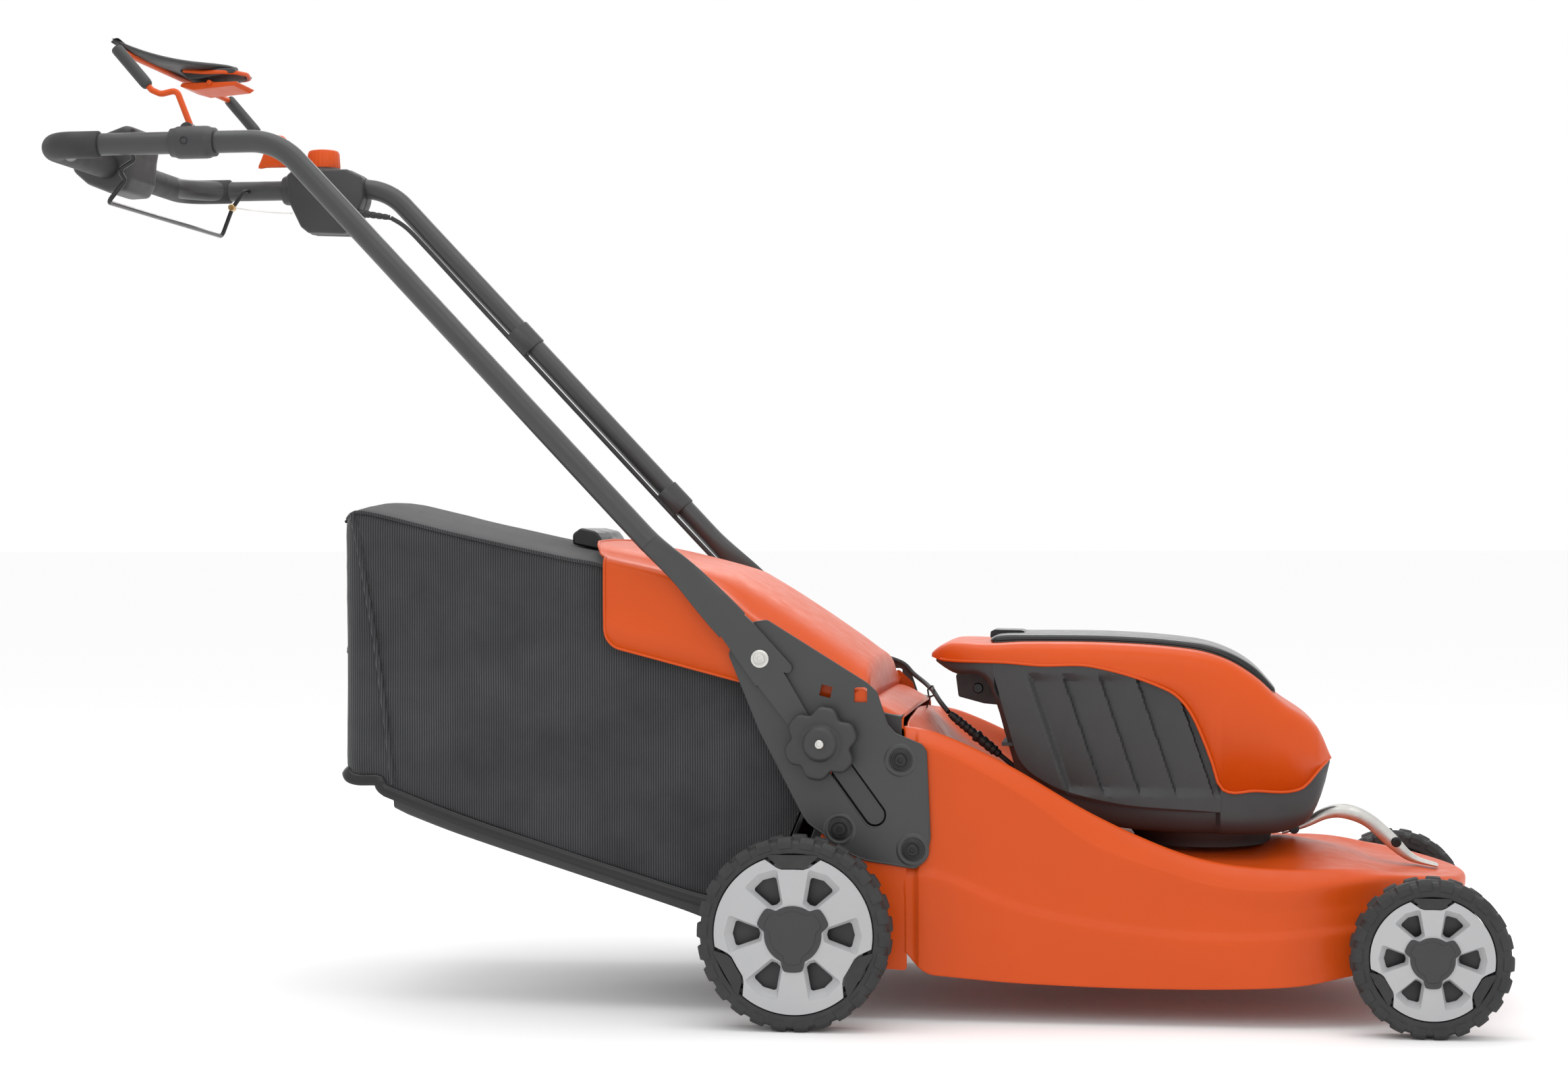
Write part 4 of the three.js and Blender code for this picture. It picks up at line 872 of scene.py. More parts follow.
def make_handle():
    tube = merged(sweep(handle_path(), TUBE, 32), both_sides(tube_end()))
    make("handle_loop", tube, "grey_steel", "handle", ["handle_tube"], sharp=45)
    make("handle_hooks", both_sides(flat_end()), "grey_steel", "handle",
         ["handle_end_right", "handle_end_left"], bevel=2.0, bevel_steps=3)
    corners = [(-807, -TUBE_Y, GRIP_Z), (BAR_X, -TUBE_Y, GRIP_Z), (BAR_X, TUBE_Y, GRIP_Z),
               (-807, TUBE_Y, GRIP_Z)]
    path = fillet(corners, GRIP_CORNER, 18)
    last = len(path) - 1

    def grip_radius(i):
        edge = min(i, last - i)
        radius = 15.5 - (1.4 if edge == 0 else 0)
        return radius, radius

    ends = [path[0] + (path[1] - path[0]) * 0.01, path[-1] + (path[-2] - path[-1]) * 0.01]
    path = [path[0], ends[0] - Vector((1.2, 0, 0)), *path[1:-1], ends[1] - Vector((1.2, 0, 0)), path[-1]]
    last = len(path) - 1
    make("grip_sleeve", sweep(path, grip_radius, 32), "rubber", "handle", ["rubber_grip"], sharp=50)


make_handle()


def make_sleeve():
    centre = (0, TUBE_Y, GRIP_Z)
    profile = [(TUBE + 0.1, -722), (16.2, -721.4), (16.6, -719), (16.9, -716.5), (18.2, -714), (18.6, -711),
               (18.6, -681), (18.2, -677), (16.9, -674.5), (16.6, -672), (16.2, -669.6), (TUBE + 0.1, -669)]
    tube = lathe(profile, centre, axis="X", steps=48, ring=True)
    boss = lathe([(0, 199), (6.8, 199), (8, 200.4), (8, 214), (0, 214)], (-708, 0, 1004), steps=32)
    pin = lathe([(0, 242.2), (4.6, 242.2), (4.6, 242.9), (3.4, 242.9), (3.2, 241), (0, 241)],
                (-701, 0, GRIP_Z), steps=24)
    make("bail_sleeve", on_side(merged(tube, boss), -1), "dark_plastic", "handle", ["pivot_sleeve"],
         sharp=35)
    make("bail_sleeve_screw", on_side(pin, -1), "gloss_black", "handle", sharp=30, material=SOCKET_BLACK)


make_sleeve()

# ---------------------------------------------------------------- control pod and box


BUTTON_X = -856


def pod_shape():
    """A rounded body over the grip, tapered towards its sides."""
    outline = flat_round([(-920, 985), (-898, 966), (-870, 955), (-848, 956), (-840, 972), (-838, 1000),
                          (-834, 1022), (-838, 1034), (-848, 1037.5), (-872, 1029), (-899, 1010)],
                         [10, 12, 12, 6, 10, 8, 6, 6, 8, 14, 14], 5)
    middle = (-872, 992)
    rings = []
    for y, scale in ((-45, 0.82), (-44, 0.9), (-41, 0.955), (-36, 0.985), (-28, 1), (0, 1), (28, 1),
                     (36, 0.985), (41, 0.955), (44, 0.9), (45, 0.82)):
        rings.append(shrunk(outline, middle, scale, y))
    return loft(rings)


def button(y, slot, name, body, node):
    top = [(0, 1018.6), (7.6, 1018.6), (8.3, 1019.4), (8.3, 1035.2), (7.6, 1036.4), (5, 1036.9), (0, 1037.1)]
    make(name, lathe([(r, z) for r, z in top], (BUTTON_X, y, 0), axis="Z", steps=40), slot, body, [node],
         sharp=40)


def make_controls():
    make("grip_pod", pod_shape(), "dark_plastic", "handle", ["control_pod"], sharp=50)
    bezels = [lathe([(8.7, 1026), (8.8, 1035.2), (9.8, 1036.2), (11.4, 1035), (11.6, 1026)], (BUTTON_X, y, 0),
                    axis="Z", steps=40, ring=True) for y in (-14, 14)]
    make("button_bezels", merged(*bezels), "gloss_black", "handle", sharp=30)
    button(-14, "gloss_black", "power_key", "power_button", "power_button")
    button(14, "orange_plastic", "eco_key", "eco_button", "eco_button")
    outline = flat_round([(-726, 1004), (-718, 1011), (-645, 1011), (-625, 1001), (-623, 972), (-641, 930),
                          (-650, 927), (-697, 929), (-707, 937), (-725, 974)],
                         [4, 5, 8, 6, 30, 10, 8, 8, 10, 30], 5)
    middle = (-675, 970)
    rings = []
    for y, scale in ((199.2, 0.93), (200.2, 0.965), (202.5, 0.99), (206, 1), (239, 1), (243, 0.99),
                     (245.2, 0.96), (246, 0.92)):
        rings.append(shrunk(outline, middle, scale, y))
    seam = sweep([(x, 222, z) for x, z in outline + outline[:2]], 0.7, 6, (0, 1, 0), caps=False)
    collars = lathe([(TUBE, -736), (17.5, -735), (19, -732), (19.5, -724), (19.5, -716), (TUBE, -716)],
                    (0, TUBE_Y, GRIP_Z), axis="X", steps=40, ring=True)
    make("control_case", merged(loft(rings), seam), "dark_plastic", "handle", ["control_box"], sharp=50)
    make("control_collar", collars, "dark_plastic", "handle", sharp=30)
    relief = straight((-636, 204, 955), (-590, 209, 948), 24)

    def ribbed(i):
        radius = 5.2 - 1.6 * i / 24 - (0.7 if i % 4 == 3 else 0)
        return radius, radius

    make("strain_relief", sweep(relief, ribbed, 16), "rubber", "handle", sharp=30)
    ridges = [0.55 if k % 4 < 2 else 0.0 for k in range(96)]
    rings = []
    for z, radius, depth in ((1014.8, 20.6, 1), (1016, 21, 1), (1034, 19.8, 1), (1037, 18.6, 0.6),
                             (1038, 16.6, 0), (1038.3, 8, 0)):
        rings.append([(-683 + (radius + ridges[k] * depth) * math.cos(2 * math.pi * k / 96),
                       226 + (radius + ridges[k] * depth) * math.sin(2 * math.pi * k / 96), z)
                      for k in range(96)])
    profile = [(-690, 211, 240, 1016, 1026), (-706, 209.5, 234, 1016, 1030), (-724, 210, 224, 1016, 1046),
               (-738, 211, 220, 1016, 1058), (-748, 212, 219, 1016, 1059), (-756, 212.5, 218.5, 1016, 1046),
               (-763, 213, 218, 1015, 1028), (-767, 214, 217, 1015.4, 1019)]
    lever = []
    for x, y0, y1, z0, z1 in profile:
        ring = []
        for s in range(20):
            c, v = math.cos(2 * math.pi * s / 20), math.sin(2 * math.pi * s / 20)
            ring.append((x, (y0 + y1) / 2 + (y1 - y0) / 2 * math.copysign(abs(c) ** 0.6, c),
                         (z0 + z1) / 2 + (z1 - z0) / 2 * math.copysign(abs(v) ** 0.6, v)))
        lever.append(ring)
    make("speed_dial", merged(loft(rings), loft(lever)), "orange_plastic", "speed_lever", ["speed_lever"],
         sharp=40)


make_controls()

# ---------------------------------------------------------------- bails

BAIL_Y = 193


def upper_path():
    def leg(side):
        return [(-708, side * 206, 1004), (-708, side * BAIL_Y, 1004), (-727, side * BAIL_Y, 1052),
                (-746, side * BAIL_Y, 1048), (-757, side * BAIL_Y, 1053), (-799, side * BAIL_Y, 1101)]
    corners = leg(-1) + leg(1)[::-1]
    return fillet(corners, [0, 4, 7, 12, 6, 6, 6, 6, 12, 7, 4, 0], 6)


paddle_front = follow([(0, -712), (0.07, -717), (0.14, -733), (0.32, -755), (0.55, -775), (0.8, -790),
                       (1, -799)])
paddle_top = follow([(0, 1112.5), (0.15, 1112), (0.32, 1109.5), (0.6, 1109.5), (0.85, 1112), (1, 1114.3)])
paddle_under = follow([(0, 1103), (0.15, 1102.5), (0.32, 1101), (0.6, 1101), (0.8, 1103.5), (1, 1108.5)])


def paddle_ring(y):
    t = abs(y) / 198
    front, top, under = paddle_front(t), paddle_top(t), paddle_under(t)
    rear = -812 + 9 * t ** 3
    mid, tall = (rear + front) / 2, top - under
    return [(rear + 2.5, under + 0.3), (rear + 0.4, under + tall * 0.3), (rear, top - tall * 0.3),
            (rear + 3, top - 0.4), (rear + 10, top), (mid, top - 1.2), (front - 9, top - 0.2),
            (front - 2.5, top - tall * 0.16), (front, top - tall * 0.42), (front - 2.5, under + tall * 0.2),
            (front - 9, under), (mid, under + 0.8), (rear + 11, under)]


def make_bails():
    make("upper_bail_wire", sweep(upper_path(), 3.6, 16), "orange_plastic", "upper_bail", ["upper_bail_rod"],
         sharp=50)
    places = [-198, -197, -194, -188, -176, -160, -140, -115, -90, -60, -30, 0]
    places += [-y for y in reversed(places[:-1])]
    rings = []
    for i, y in enumerate(places):
        ring = paddle_ring(y)
        centre = Vector((sum(p[0] for p in ring), sum(p[1] for p in ring))) / len(ring)
        shrink = {0: 0.55, 1: 0.82, 2: 0.95}.get(min(i, len(places) - 1 - i), 1.0)
        rings.append(shrunk(ring, centre, shrink, y))
    sleeves = [sweep([(-760 - 4.1 * k, side * BAIL_Y, 1056.5 + 4.75 * k) for k in range(11)],
                     lambda i: (6.2 if i == 0 else 7.2, 6.2 if i == 0 else 7.2), 18) for side in (-1, 1)]
    make("upper_bail_bar", merged(loft(rings), *sleeves), "dark_plastic", "upper_bail",
         ["upper_bail_paddle"], sharp=60, smooth=1)
    block = plate(flat_round([(-785, 1104), (-773, 1092), (-760, 1092), (-716, 1098.5), (-712, 1104)],
                             [2, 3, 4, 3, 2], 4), [], -33, 33)
    make("lever_housing", block, "dark_plastic", "upper_bail", bevel=2.0, bevel_steps=3)
    edge = fillet([(-777, -34.5, 1102), (-752, -34.5, 1099.5), (-716, -30, 1099.5), (-708.5, 0, 1101),
                   (-716, 30, 1099.5), (-752, 34.5, 1099.5), (-777, 34.5, 1102)], [0, 10, 14, 20, 14, 10, 0],
                  6)
    make("upper_bail_trim", sweep(edge, lambda i: (2.6, 2.6), 10), "orange_plastic", "upper_bail", sharp=50)
    tongue = plate(flat_round([(-783, 1083.4), (-766, 1078.6), (-716, 1083), (-708, 1088), (-716, 1088),
                               (-780, 1087.5)], 1.2, 4), [], -32, 32)
    make("lock_tongue", merged(tongue, lathe([(0, -36), (3, -36), (3, 36), (0, 36)], (-745, 0, 1087),
                                             steps=20)), "orange_plastic", "lock_lever", ["lock_lever"],
         bevel=1.2, bevel_steps=3)
    corners = [(-779, -209, 985), (-775, -200, 972), (-795, -198, 961), (-787, -198, 949), (-808, -198, 924),
               (-811, 198, 926), (-797, 198, 962), (-781, 198, 984), (-779, 209, 985)]
    make("lower_bail_rod", sweep(fillet(corners, [0, 6, 6, 5, 7, 7, 10, 5, 0], 6), 2.7, 14), "gloss_black",
         "lower_bail", ["lower_wire_bail"], sharp=50)
    barrel = lathe([(0, 186), (3.6, 186), (4.2, 186.6), (4.2, 195.2), (3.6, 195.8), (0, 195.8)],
                   (-794.5, 0, 962), steps=24)
    make("cable_barrel", barrel, "zinc", "lower_bail", sharp=30, material=BRASS)
    pull = straight((-789.8, 190, 961.5), (-718.6, 206, 955), 12)
    sag = [p - Vector((0, 0, 1.2 * math.sin(math.pi * k / 12))) for k, p in enumerate(pull)]
    make("bail_cable", sweep(sag, 0.9, 8), "zinc", "handle", ["pull_wire"], sharp=60)


make_bails()

# ---------------------------------------------------------------- lead along the left tube

LEAD_RADIUS = 2.9
LEAD_ROUTE = [(-588.5, 209.1, 947.5), (-568, 211, 934), (-540, 213, 905), (-500, 213, 862), (-404, 213, 759),
              (-307, 213, 655.5), (-211, 213, 553), (-150, 210, 490), (-115, 206, 459), (-90, 203.5, 436),
              (-66, 202.3, 418), (-46, 202.3, 401), (-33, 202.3, 388), (-10, 202.3, 383), (40, 202.3, 385),
              (72, 202.3, 377), (88, 198, 363), (104, 176, 353), (116, 130, 348), (124, 60, 350),
              (135, 22, 340), (146.6, 4, 328.4)]


def make_lead():
    lead = make("motor_lead", sweep(spline(LEAD_ROUTE, 6), LEAD_RADIUS, 14), "rubber", None,
                ["upper_lead", "lower_lead"], sharp=60)
    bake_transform(lead)
    route = straight((148, 2.8, 327), (226, 0, 263.6), 60)

    def body(i):
        if i < 6:
            radius = 3.6 + 0.3 * i
        elif i < 24:
            radius = 5.6 - (0.9 if i % 4 >= 2 else 0)
        elif i < 27:
            radius = 7.2
        elif i < 42:
            radius = 6.3 - (0.8 if i % 5 >= 3 else 0)
        elif i < 46:
            radius = 4.6
        else:
            radius = 2.9
        return radius, radius

    make("lead_plug", sweep(route, body, 20), "dark_plastic", "chassis", ["lead_connector"], sharp=24)
    clips = []
    for x in (-413, -219):
        z = GRIP_Z - (x - BEND_X) / SLANT
        down = Vector((SLANT, 0, -1)).normalized()
        tube_centre = Vector((x, TUBE_Y, z))
        lead_centre = Vector((x - 8, 213, z - 9))
        clip = []
        for s in (-17, -16, 16, 17):
            ring = []
            for a in range(40):
                angle = 2 * math.pi * a / 40
                across = Vector((-down.z, 0, down.x))
                away = across * math.cos(angle) + Vector((0, 1, 0)) * math.sin(angle)
                toward = (lead_centre - tube_centre)
                pull_out = max(0.0, away.dot(toward.normalized())) ** 3
                size = (TUBE + 1.8 if abs(s) < 17 else TUBE + 0.9) + 6.5 * pull_out
                ring.append(tube_centre + down * s + away * size)
            clip.append(ring)
        clips.append(loft(clip))
    make("lead_clips", merged(*clips), "dark_plastic", "handle", sharp=40)
    tie = sweep(fillet([(127, 40, 352), (124, 52, 357), (118, 52, 352), (120, 46, 343), (127, 40, 346)], 2,
                       4, closed=True), 1.1, 8)
    tail = sweep([(122, 48, 345), (118, 46, 333), (115, 44, 322)], 0.9, 6)
    make("lead_tie", merged(tie, tail), "gloss_black", "chassis", sharp=60)


make_lead()

# ---------------------------------------------------------------- motor housing, cover and lid

cover_top = follow([(130, 399), (136, 405), (145, 411), (158, 415), (200, 414), (241, 416), (344, 415),
                    (430, 408), (469, 397), (502, 377), (531, 350), (571, 320), (588, 284)])
cover_edge = follow([(130, 397), (150, 393), (218, 392), (260, 389), (320, 388), (403, 362), (428, 338),
                     (450, 288), (462, 252), (500, 249), (551, 250), (576, 274), (588, 283)])
housing_half = follow([(130, 52), (150, 88), (200, 114), (300, 124), (440, 124), (520, 112), (571, 86),
                       (588, 58)])
base_bottom = follow([(137, 391), (160, 379), (200, 369), (222, 300), (236, 256), (262, 232), (300, 216),
                      (373, 203), (518, 200), (545, 206), (563, 216), (579, 249), (586, 276)])


def cover_ring(x):
    half = housing_half(x)
    top = cover_top(x)
    edge = min(cover_edge(x), top - 1)
    rise = top - edge
    lift = [0, 0.08, 0.3, 0.55, 0.74, 0.87, 0.95, 0.985, 1.0, 1.0, 1.0]
    spread = [1.0, 1.0, 0.998, 0.99, 0.972, 0.945, 0.905, 0.84, 0.6, 0.3, 0]
    corner = min(rise, 34)
    side = [(half * s if rise < 34 else half - (1 - s) * 120, top - (1 - t) * corner) for s, t in zip(spread,
            lift)]
    side = [(max(0.0, y if k < 8 else half * spread[k]), z) for k, (y, z) in enumerate(side)]
    if rise > corner:
        side.insert(0, (half, edge))
    else:
        side.insert(0, (half, edge - 0.02))
    return [(x, -y, z) for y, z in side] + [(x, y, z) for y, z in reversed(side[:-1])]


def base_ring(x):
    half = housing_half(x) - (9.5 if 212 < x < 458 else 2)
    low = base_bottom(x)
    top = max(cover_edge(x) + 1, low + 1.5)
    turn = min(30, (top - low) * 0.45)
    side = [(0, low), (half * 0.4, low), (half * 0.72, low)]
    for a in evenly(0, math.pi / 2, 6):
        side.append((half - 18 + 18 * math.sin(a), low + turn * (1 - math.cos(a))))
    side += [(half, low + turn + (top - low - turn) * 0.5), (half, top)]
    return [(x, -y, z) for y, z in reversed(side)] + [(x, y, z) for y, z in side[1:]]


VENT_LOW, VENT_HIGH, VENT_START, VENT_END = 243, 382, 268, 470


def vent_depth(x, z):
    """How deep the side wall is pressed in at a louvre."""
    u = x + 0.34 * (z - 310)
    if not VENT_START < u < VENT_END or not VENT_LOW < z < VENT_HIGH:
        return 0.0
    fade = min(1.0, (z - VENT_LOW) / 10, (VENT_HIGH - z) / 10, (u - VENT_START) / 6, (VENT_END - u) / 6)
    return fade * (1.5 + 6.0 * (1 - (u - VENT_START) / 41 % 1.0))


def side_panel():
    """The dark side wall under the cover, with its slanted louvres."""
    columns = []
    for x in evenly(206, 462, 128):
        half = housing_half(x) - 0.6
        low, high = base_bottom(x) + 26, cover_edge(x) + 1
        column = []
        for t in evenly(0, 1, 48):
            z = low + (high - low) * t
            column.append((x, half - vent_depth(x, z) - (3 if t == 0 else 0), z))
        columns.append(column)
    return loft(columns, closed=False, caps=False)


def lid_top(x):
    return follow([(199, 418), (210, 423), (241, 424), (344, 423), (430, 416), (469, 406), (502, 387),
                   (530, 357)])(x)


def lid_ring(x):
    half = 83 - max(0, x - 500) * 0.35
    end = min(1.0, (x - 201.5) / 7)
    half -= 6 * (1 - end) ** 2
    top, under = lid_top(x), cover_top(x) + 1.2
    side = [(half - 1, under), (half, under + 0.8), (half, top - 5 if top - under > 6.5 else under + 1.4),
            (half - 1.6, top - 2.2), (half - 5, top - 0.9), (half * 0.6, top - 0.3), (0, top)]
    side = [(y, max(z, under + 0.1 * k)) for k, (y, z) in enumerate(side)]
    return [(x, -y, z) for y, z in side] + [(x, y, z) for y, z in reversed(side[:-1])]


MOTOR_X = 443


def make_housing():
    stations = evenly(132, 160, 9) + evenly(166, 560, 66) + evenly(562, 588, 13)
    make("cover_shell", loft([cover_ring(x) for x in stations], closed=False, caps=False), "orange_plastic",
         "chassis", ["top_cover"], sharp=60, thick=2.6)
    rim = [(x, -housing_half(x) - 0.1, cover_edge(x) + 1.4) for x in stations[4:-3]]
    make("cover_rim", both_sides(sweep(rim, 1.7, 10)), "orange_plastic", "chassis", sharp=60)
    base = loft([base_ring(x) for x in evenly(138, 586, 90)], closed=False, caps=False)
    throat = lathe([(64, 186), (64, 208), (84, 212), (84, 196), (79, 190), (78, 182), (70, 181)],
                   (MOTOR_X, 0, 0), axis="Z", steps=64, ring=True)
    shelf = loft([[(x, -112, 298), (x, 112, 298), (x, 112, 302), (x, -112, 302)] for x in (216, 392)])
    make("base_shell", merged(base, throat, shelf), "dark_plastic", "chassis", ["housing_base"], sharp=55)
    make("side_louvres", both_sides(side_panel()), "dark_plastic", "chassis", sharp=24)
    ear = plate(flat_round([(157, 372), (160, 378), (200, 374), (213, 356), (212, 338), (190, 340),
                            (160, 348)], 3, 4), [], -16, 16)
    make("rear_ear", ear, "dark_plastic", "chassis", bevel=1.2)
    screws = [lathe([(0, 15.5), (6.2, 15.5), (6.2, 17.4), (5, 18.6), (2.6, 18.7), (2.4, 17.2), (0, 17.2)],
                    (183, 0, 358), steps=24)]
    make("ear_screws", both_sides(merged(*screws)), "gloss_black", "chassis", sharp=30)
    lid_places = evenly(202, 214, 6) + evenly(220, 524, 60)
    tab = plate(flat_round([(198, 417.2), (198.5, 424.8), (203, 427), (234, 426.4), (240, 424.6), (229, 417)],
                           2, 4), [], -26, 26)
    make("lid_shell", merged(loft([lid_ring(x) for x in lid_places], closed=True), tab), "gloss_black",
         "lid", ["battery_lid"], sharp=40)
    seam = [(x, -(83 - max(0, x - 500) * 0.35) - 1.4, cover_top(x) + 0.2) for x in evenly(206, 520, 40)]
    make("lid_gasket", both_sides(sweep(seam, 1.1, 8)), "gloss_black", "chassis", sharp=60)


make_housing()

# ---------------------------------------------------------------- carrying strap


def make_strap():
    centre = spline([(534, 0, 192.5), (560, 0, 202), (585, 0, 214.5), (607, 0, 217), (633, 0, 207),
                     (660, 0, 183), (676, 0, 168.5), (690, 0, 161.5), (711, 0, 156.3)], 8)
    half = follow([(532, 2.2), (560, 4), (585, 6), (607, 8), (633, 8), (660, 8), (676, 5.5), (690, 3.2),
                   (711, 1.7)])
    rings = []
    for i, p in enumerate(centre):
        along = (centre[min(i + 1, len(centre) - 1)] - centre[max(i - 1, 0)]).normalized()
        up = Vector((-along.z, 0, along.x))
        h = half(p.x)
        rings.append([p + up * z + Vector((0, y, 0)) for y, z in [(-10, -h), (-11, -h + 1), (-11, h - 2),
                                                                  (-9.6, h - 0.6), (-6, h), (6, h),
                                                                  (9.6, h - 0.6), (11, h - 2), (11, -h + 1),
                                                                  (10, -h)]])
    make("strap_bar", loft(rings), "zinc", "chassis", ["carry_strap"], sharp=55)
    heads = [lathe([(0, 10.6), (6, 10.6), (6, 11.8), (5, 12.8), (2.6, 12.9), (2.4, 11.6), (0, 11.6)],
                   (x, 0, z), steps=24) for x, z in ((548, 197), (664, 183))]
    make("strap_screws", both_sides(merged(*heads)), "gloss_black", "chassis", sharp=30)


make_strap()

# ---------------------------------------------------------------- rear flap

flap_top = follow([(-253, 532), (-185, 520), (-96, 498), (-82, 493), (-40, 469), (30, 422), (62, 398)])
flap_crease = follow([(-253, 515), (-223, 508), (-157, 493), (-99, 474), (-57, 442), (0, 405), (58, 366)])
flap_skirt = follow([(-226, 415), (-210, 411), (-72, 375), (0, 357), (58, 349)])
FLAP_HALF, FLAP_REAR, FLAP_LIP, FLAP_FRONT = 197, -226, -253, 62
FLAP_CORNER = 17


def flap_ring(t):
    """One line across the flap, from its front edge at 0 to its rear edge at 1."""
    def x_at(y):
        reach = max(0.0, 1 - (abs(y) / 185) ** 4)
        return FLAP_FRONT + (FLAP_REAR + (FLAP_LIP - FLAP_REAR) * reach - FLAP_FRONT) * t

    x = x_at(FLAP_HALF)
    fold = flap_crease(x)
    skirt = flap_skirt(x)
    if x < FLAP_REAR + FLAP_CORNER:
        gap = FLAP_REAR + FLAP_CORNER - x
        skirt += FLAP_CORNER - math.sqrt(max(0.0, FLAP_CORNER ** 2 - gap ** 2))
    side = [(FLAP_HALF, skirt), (FLAP_HALF, skirt + (fold - skirt) * 0.33),
            (FLAP_HALF, skirt + (fold - skirt) * 0.66), (FLAP_HALF, fold - 5), (FLAP_HALF - 0.5, fold - 1.5),
            (FLAP_HALF - 2.6, fold + 1.8)]
    for y, lift, share in ((189, 4.4, 0), (182, 5.4, 0), (174, 5.6, 0), (167, 5.2, 0.05), (158, 4.8, 0.3),
                           (142, 4, 0.58), (110, 2, 0.83), (60, 0, 0.96), (0, 0, 1)):
        px = x_at(y)
        side.append((y, flap_crease(px) + lift + (flap_top(px) - flap_crease(px)) * share))
    points = [(x_at(y), y, z) for y, z in side]
    return [(px, -y, z) for px, y, z in points] + points[-2::-1]


def make_flap():
    places = evenly(0, 0.94, 44) + evenly(0.95, 1, 10)
    shell = loft([flap_ring(t) for t in places], closed=False, caps=False)
    front = flap_ring(0)
    nose = [[(x + out, y, 350 + (z - 350) * tall) for x, y, z in front] for out, tall in
            ((0, 1), (4, 0.93), (7, 0.78), (8.5, 0.55), (9, 0.3), (9, 0.05))]
    shell = merged(shell, loft(nose, closed=False, caps=False))
    make("flap_shell", shell, "orange_plastic", "flap", ["rear_flap"], sharp=50, thick=2.6, smooth=0)
    hem = [Vector(flap_ring(t)[0]) + Vector((0, 1.2, 0)) for t in places]
    hem += [Vector(p) for p in flap_ring(1)[1:-1]] + [Vector(flap_ring(t)[-1]) - Vector((0, 1.2, 0))
                                                      for t in places[::-1]]
    make("flap_hem", sweep(hem, 1.7, 10), "orange_plastic", "flap", sharp=60)
    ears = plate(flat_round([(48, 350), (66, 349.5), (74, 357), (66, 364.5), (50, 372)], 4, 5),
                 [circle(67, 357, 3.3)], 190.5, 194.4)
    make("flap_ears", both_sides(ears), "orange_plastic", "flap", bevel=0.5)
    rod = lathe([(0, -206.4), (2.5, -206.8), (3, -206), (3, 206), (2.5, 206.8), (0, 206.4)], (67, 0, 357),
                steps=24)
    make("flap_hinge_rod", rod, "zinc", "chassis", ["flap_rod"], sharp=30)


make_flap()

# ---------------------------------------------------------------- grass bag

bag_top = follow([(-540, 562), (-523, 567), (-501, 565), (-397, 540), (-272, 513), (-228, 504), (-60, 425),
                  (45, 336)])
bag_floor = follow([(-540, 262), (-500, 258), (-488, 250), (-476, 241), (-396, 212), (-149, 133), (-56, 112),
                    (45, 112)])
BAG_HALF, BAG_REAR = 186, -535
SEAM_TOP, SEAM_LOW = (-523, 567), (-476, 246)


def mouth_x(z):
    return -36 + ((z - 150) * 82) / 202


def wrinkle(x, y, z):
    """How far the cloth swells or sinks, from slow folds and a few sharper creases."""
    slow = noise.noise(Vector((x * 0.008, y * 0.01 + 3, z * 0.011)))
    fold = noise.noise(Vector((x * 0.021 + 0.6 * slow, y * 0.02, z * 0.006 + 7)))
    sharp = 1 - abs(noise.noise(Vector((x * 0.012 + 5, y * 0.013, z * 0.03))))
    return 1.9 * slow + 1.1 * fold + 1.3 * sharp ** 6


def bag_section(x):
    """One cross-section of the bag: floor middle, up the left side and over to the crown."""
    low, top = bag_floor(x), bag_top(x)
    side = [(0, low + 1), (70, low + 1), (130, low + 1), (168, low + 1.5), (181, low + 4),
            (BAG_HALF - 1, low + 11)]
    for t in evenly(0.07, 0.93, 22):
        z = low + (top - low) * t
        side.append((BAG_HALF - 1.5 - 1.2 * math.cos(2 * math.pi * (t - 0.5)), z))
    side += [(BAG_HALF - 1, top - 9), (BAG_HALF - 4, top - 3.2), (BAG_HALF - 10, top - 0.2),
             (166, top + 1.6)]
    side += [(y, top + 1.6 + 8.5 * (1 - (y / 166) ** 2)) for y in evenly(150, 0, 14)]
    return side


def bag_shell():
    rings = []
    corner = 22
    for x in evenly(BAG_REAR, BAG_REAR + corner, 8) + evenly(BAG_REAR + corner + 8, 44, 66):
        inward = 0.0
        if x < BAG_REAR + corner:
            t = (BAG_REAR + corner - x) / corner
            inward = corner * (1 - math.sqrt(max(0.0, 1 - t * t)))
        half = []
        for y, z in bag_section(max(x, BAG_REAR + 3)):
            scale = (BAG_HALF - inward) / BAG_HALF
            dent = min(1.0, (z - bag_floor(x)) / 30, (bag_top(x) + 6 - z) / 24) if y > 120 else 0.4
            swell = wrinkle(x, y, z) * max(0.0, dent) * (1 if x < -90 else max(0.0, (mouth_x(z) - x) / 60))
            up = -0.45 * inward if z > (bag_floor(x) + bag_top(x)) / 2 else 0.35 * inward
            if y > 175:
                half.append((y * scale - 1.2 + swell, z + up))
            else:
                half.append((y * scale, z + up + swell * (0.8 if z > 300 else 0.1)))
        ring = [(x, -y, z) for y, z in half] + [(x, y, z) for y, z in reversed(half[:-1])][:-1]
        rings.append([(min(px, mouth_x(pz) - 2), py, pz) for px, py, pz in ring])
    return rings


def bag_back(ring):
    """The rear panel: the first ring filled in towards its middle, with a slight belly."""
    centre = Vector((0, sum(p[1] for p in ring), sum(p[2] for p in ring))) / len(ring)
    centre.y = 0
    rings = []
    for scale in (1.0, 0.985, 0.95, 0.86, 0.72, 0.55, 0.38, 0.2, 0.08):
        rings.append([(BAG_REAR - 2.4 * (1 - scale ** 2) - 0.8 * wrinkle(50, p[1], p[2]) * (1 - scale),
                       p[1] * scale, centre.z + (p[2] - centre.z) * scale) for p in ring])
    return loft(rings[::-1], caps=False), rings[-1]


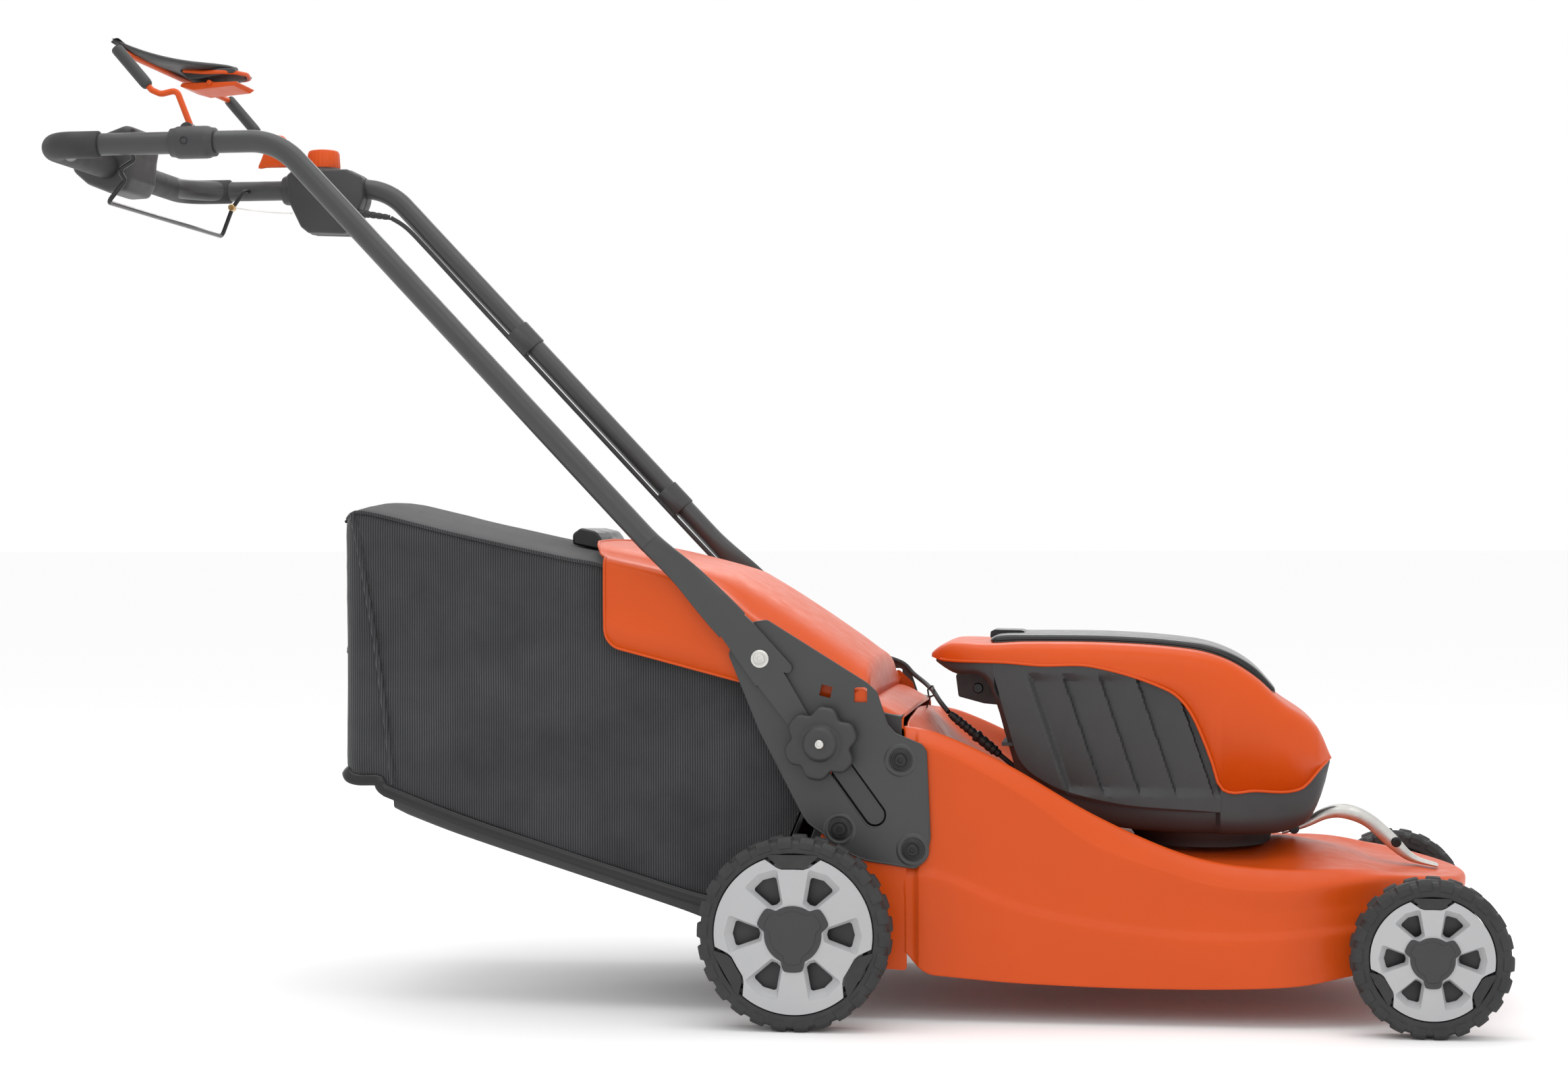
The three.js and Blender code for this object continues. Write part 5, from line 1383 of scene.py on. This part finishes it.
def make_bag():
    rings = bag_shell()
    side = make("bag_cloth", loft(rings, caps=False), "fabric", "bag", ["bag_fabric"], sharp=70, thick=1.6)
    side.data.materials.append(FABRIC_BACK)
    for face in side.data.polygons:
        if abs(face.normal.y) < 0.6:
            face.material_index = 1
    (points, faces), last = bag_back(rings[0])
    make("bag_back_panel", (points + [tuple(sum(c) / len(last) for c in zip(*last))],
                            faces + [((k + 1) % len(last), k, len(points)) for k in range(len(last))]),
         "fabric", "bag", sharp=70, thick=1.6, material=FABRIC_BACK)
    places = [-533, -530, -526, -520] + evenly(-512, 34, 60)
    piping = [(x, -(BAG_HALF - 3.5) + 16 * max(0, (-514 - x) / 20) ** 2,
               bag_top(x) - 1.2 - 6 * max(0, (-514 - x) / 20) ** 2)
              for x in places if x < mouth_x(bag_top(x)) - 4]
    make("bag_piping", both_sides(sweep(piping, 2.1, 12)), "fabric", "bag", sharp=60)
    rear = [(BAG_REAR + 0.6, y, bag_top(BAG_REAR + 3) - 10 + 8 * (1 - (y / 168) ** 2))
            for y in evenly(-168, 168, 40)]
    make("bag_rear_piping", sweep(rear, 2.0, 12), "fabric", "bag", sharp=60, material=FABRIC_BACK)
    seam = []
    for t in evenly(0, 1, 40):
        x = SEAM_TOP[0] + (SEAM_LOW[0] - SEAM_TOP[0]) * t
        z = SEAM_TOP[1] - 3 + (SEAM_LOW[1] + 8 - SEAM_TOP[1] + 3) * t
        x += 5 * math.sin(math.pi * t)
        seam.append((x, -(BAG_HALF - 1.2 + wrinkle(x, BAG_HALF, z) * min(1, 3 * t, 3 * (1 - t))), z))
    make("bag_side_seam", both_sides(sweep(seam, lambda i: (1.3, 2.6), 10, (0, 1, 0))), "fabric", "bag",
         sharp=60)
    stitches = []
    for i in range(0, 40):
        a, b = Vector(seam[i]), Vector(seam[i + 1])
        for s in (0.15, 0.65):
            start, end = a.lerp(b, s), a.lerp(b, s + 0.28)
            out = Vector((5.2, -0.7, 0))
            stitches.append(sweep([start + out, end + out], 0.5, 6))
    make("bag_stitching", both_sides(merged(*stitches)), "rubber", "bag", sharp=60)
    hem = [(-535, 166, 270), (-533, 176, 268), (-527, 183, 262), (-515, 185.6, 259), (-493, 186.2, 258.6),
           (-489, 186.4, 252), (-484, 186.5, 247.5), (-474, 186.5, 243), (-396, 186.5, 214),
           (-300, 186.5, 183), (-149, 186.5, 136.5), (-100, 186.5, 124), (-60, 186.5, 115)]
    make("bag_hem", both_sides(sweep(spline(hem, 5), lambda i: (2.0, 6.5), 12, (0, 1, 0))), "gloss_black",
         "bag", sharp=50)
    make_tray()


def make_tray():
    floor = [x for x in evenly(-476, -60, 52)]
    under = follow([(-476, 226), (-470, 223), (-462, 219), (-396, 195), (-149, 117), (-75, 92), (-60, 95)])
    rings = []
    for x in floor:
        top, low = bag_floor(x) - 0.6, under(x)
        edge = 180
        depth = max(2.0, top - low)
        half = [(0, top), (edge - 6, top), (edge, top - 0.6), (edge, top - min(3, depth * 0.3)),
                (edge - 1.5, top - depth * 0.55)]
        half += [(edge - 8 + 7 * math.cos(a), top - depth + depth * 0.45 * (1 - math.sin(a)))
                 for a in evenly(0.35, 1.5, 5)]
        half += [(150, low), (60, low), (0, low)]
        rings.append([(x, -y, z) for y, z in half] + [(x, y, z) for y, z in reversed(half[1:-1])])
    make("tray_shell", loft(rings), "dark_plastic", "bag", ["bag_tray"], sharp=40)
    lips = [(x, 182.2, bag_floor(x) - 2.5) for x in floor]
    make("tray_lip", both_sides(sweep(lips, lambda i: (3.0, 2.2), 12, (0, 1, 0))), "gloss_black", "bag",
         sharp=50)


make_bag()

# ---------------------------------------------------------------- pieces whose modelled shape stays

for node_name, round_mm, slot_name, body_name in (
        ("discharge_chute", 1.2, "dark_plastic", "chassis"),
        ("drive_unit", 3.0, "dark_plastic", "chassis"),
        ("motor_stator", 1.5, "zinc", "chassis"),
        ("motor_shaft", 0.8, "zinc", "cutter"),
        ("blade", 0.5, "grey_steel", "cutter"),
        ("blade_holder", 1.2, "zinc", "cutter"),
        ("blade_bolt", 0.8, "zinc", "cutter"),
        ("battery_right", 3.0, "gloss_black", "chassis"),
        ("battery_left", 3.0, "gloss_black", "chassis"),
        ("bag_mouth_frame", 1.0, "gloss_black", "bag"),
        ("bag_grip", 2.5, "gloss_black", "bag")):
    refined(node_name, round_mm, slot_name, body_name)

# ---------------------------------------------------------------- camera and studio

make_camera()
make_studio()
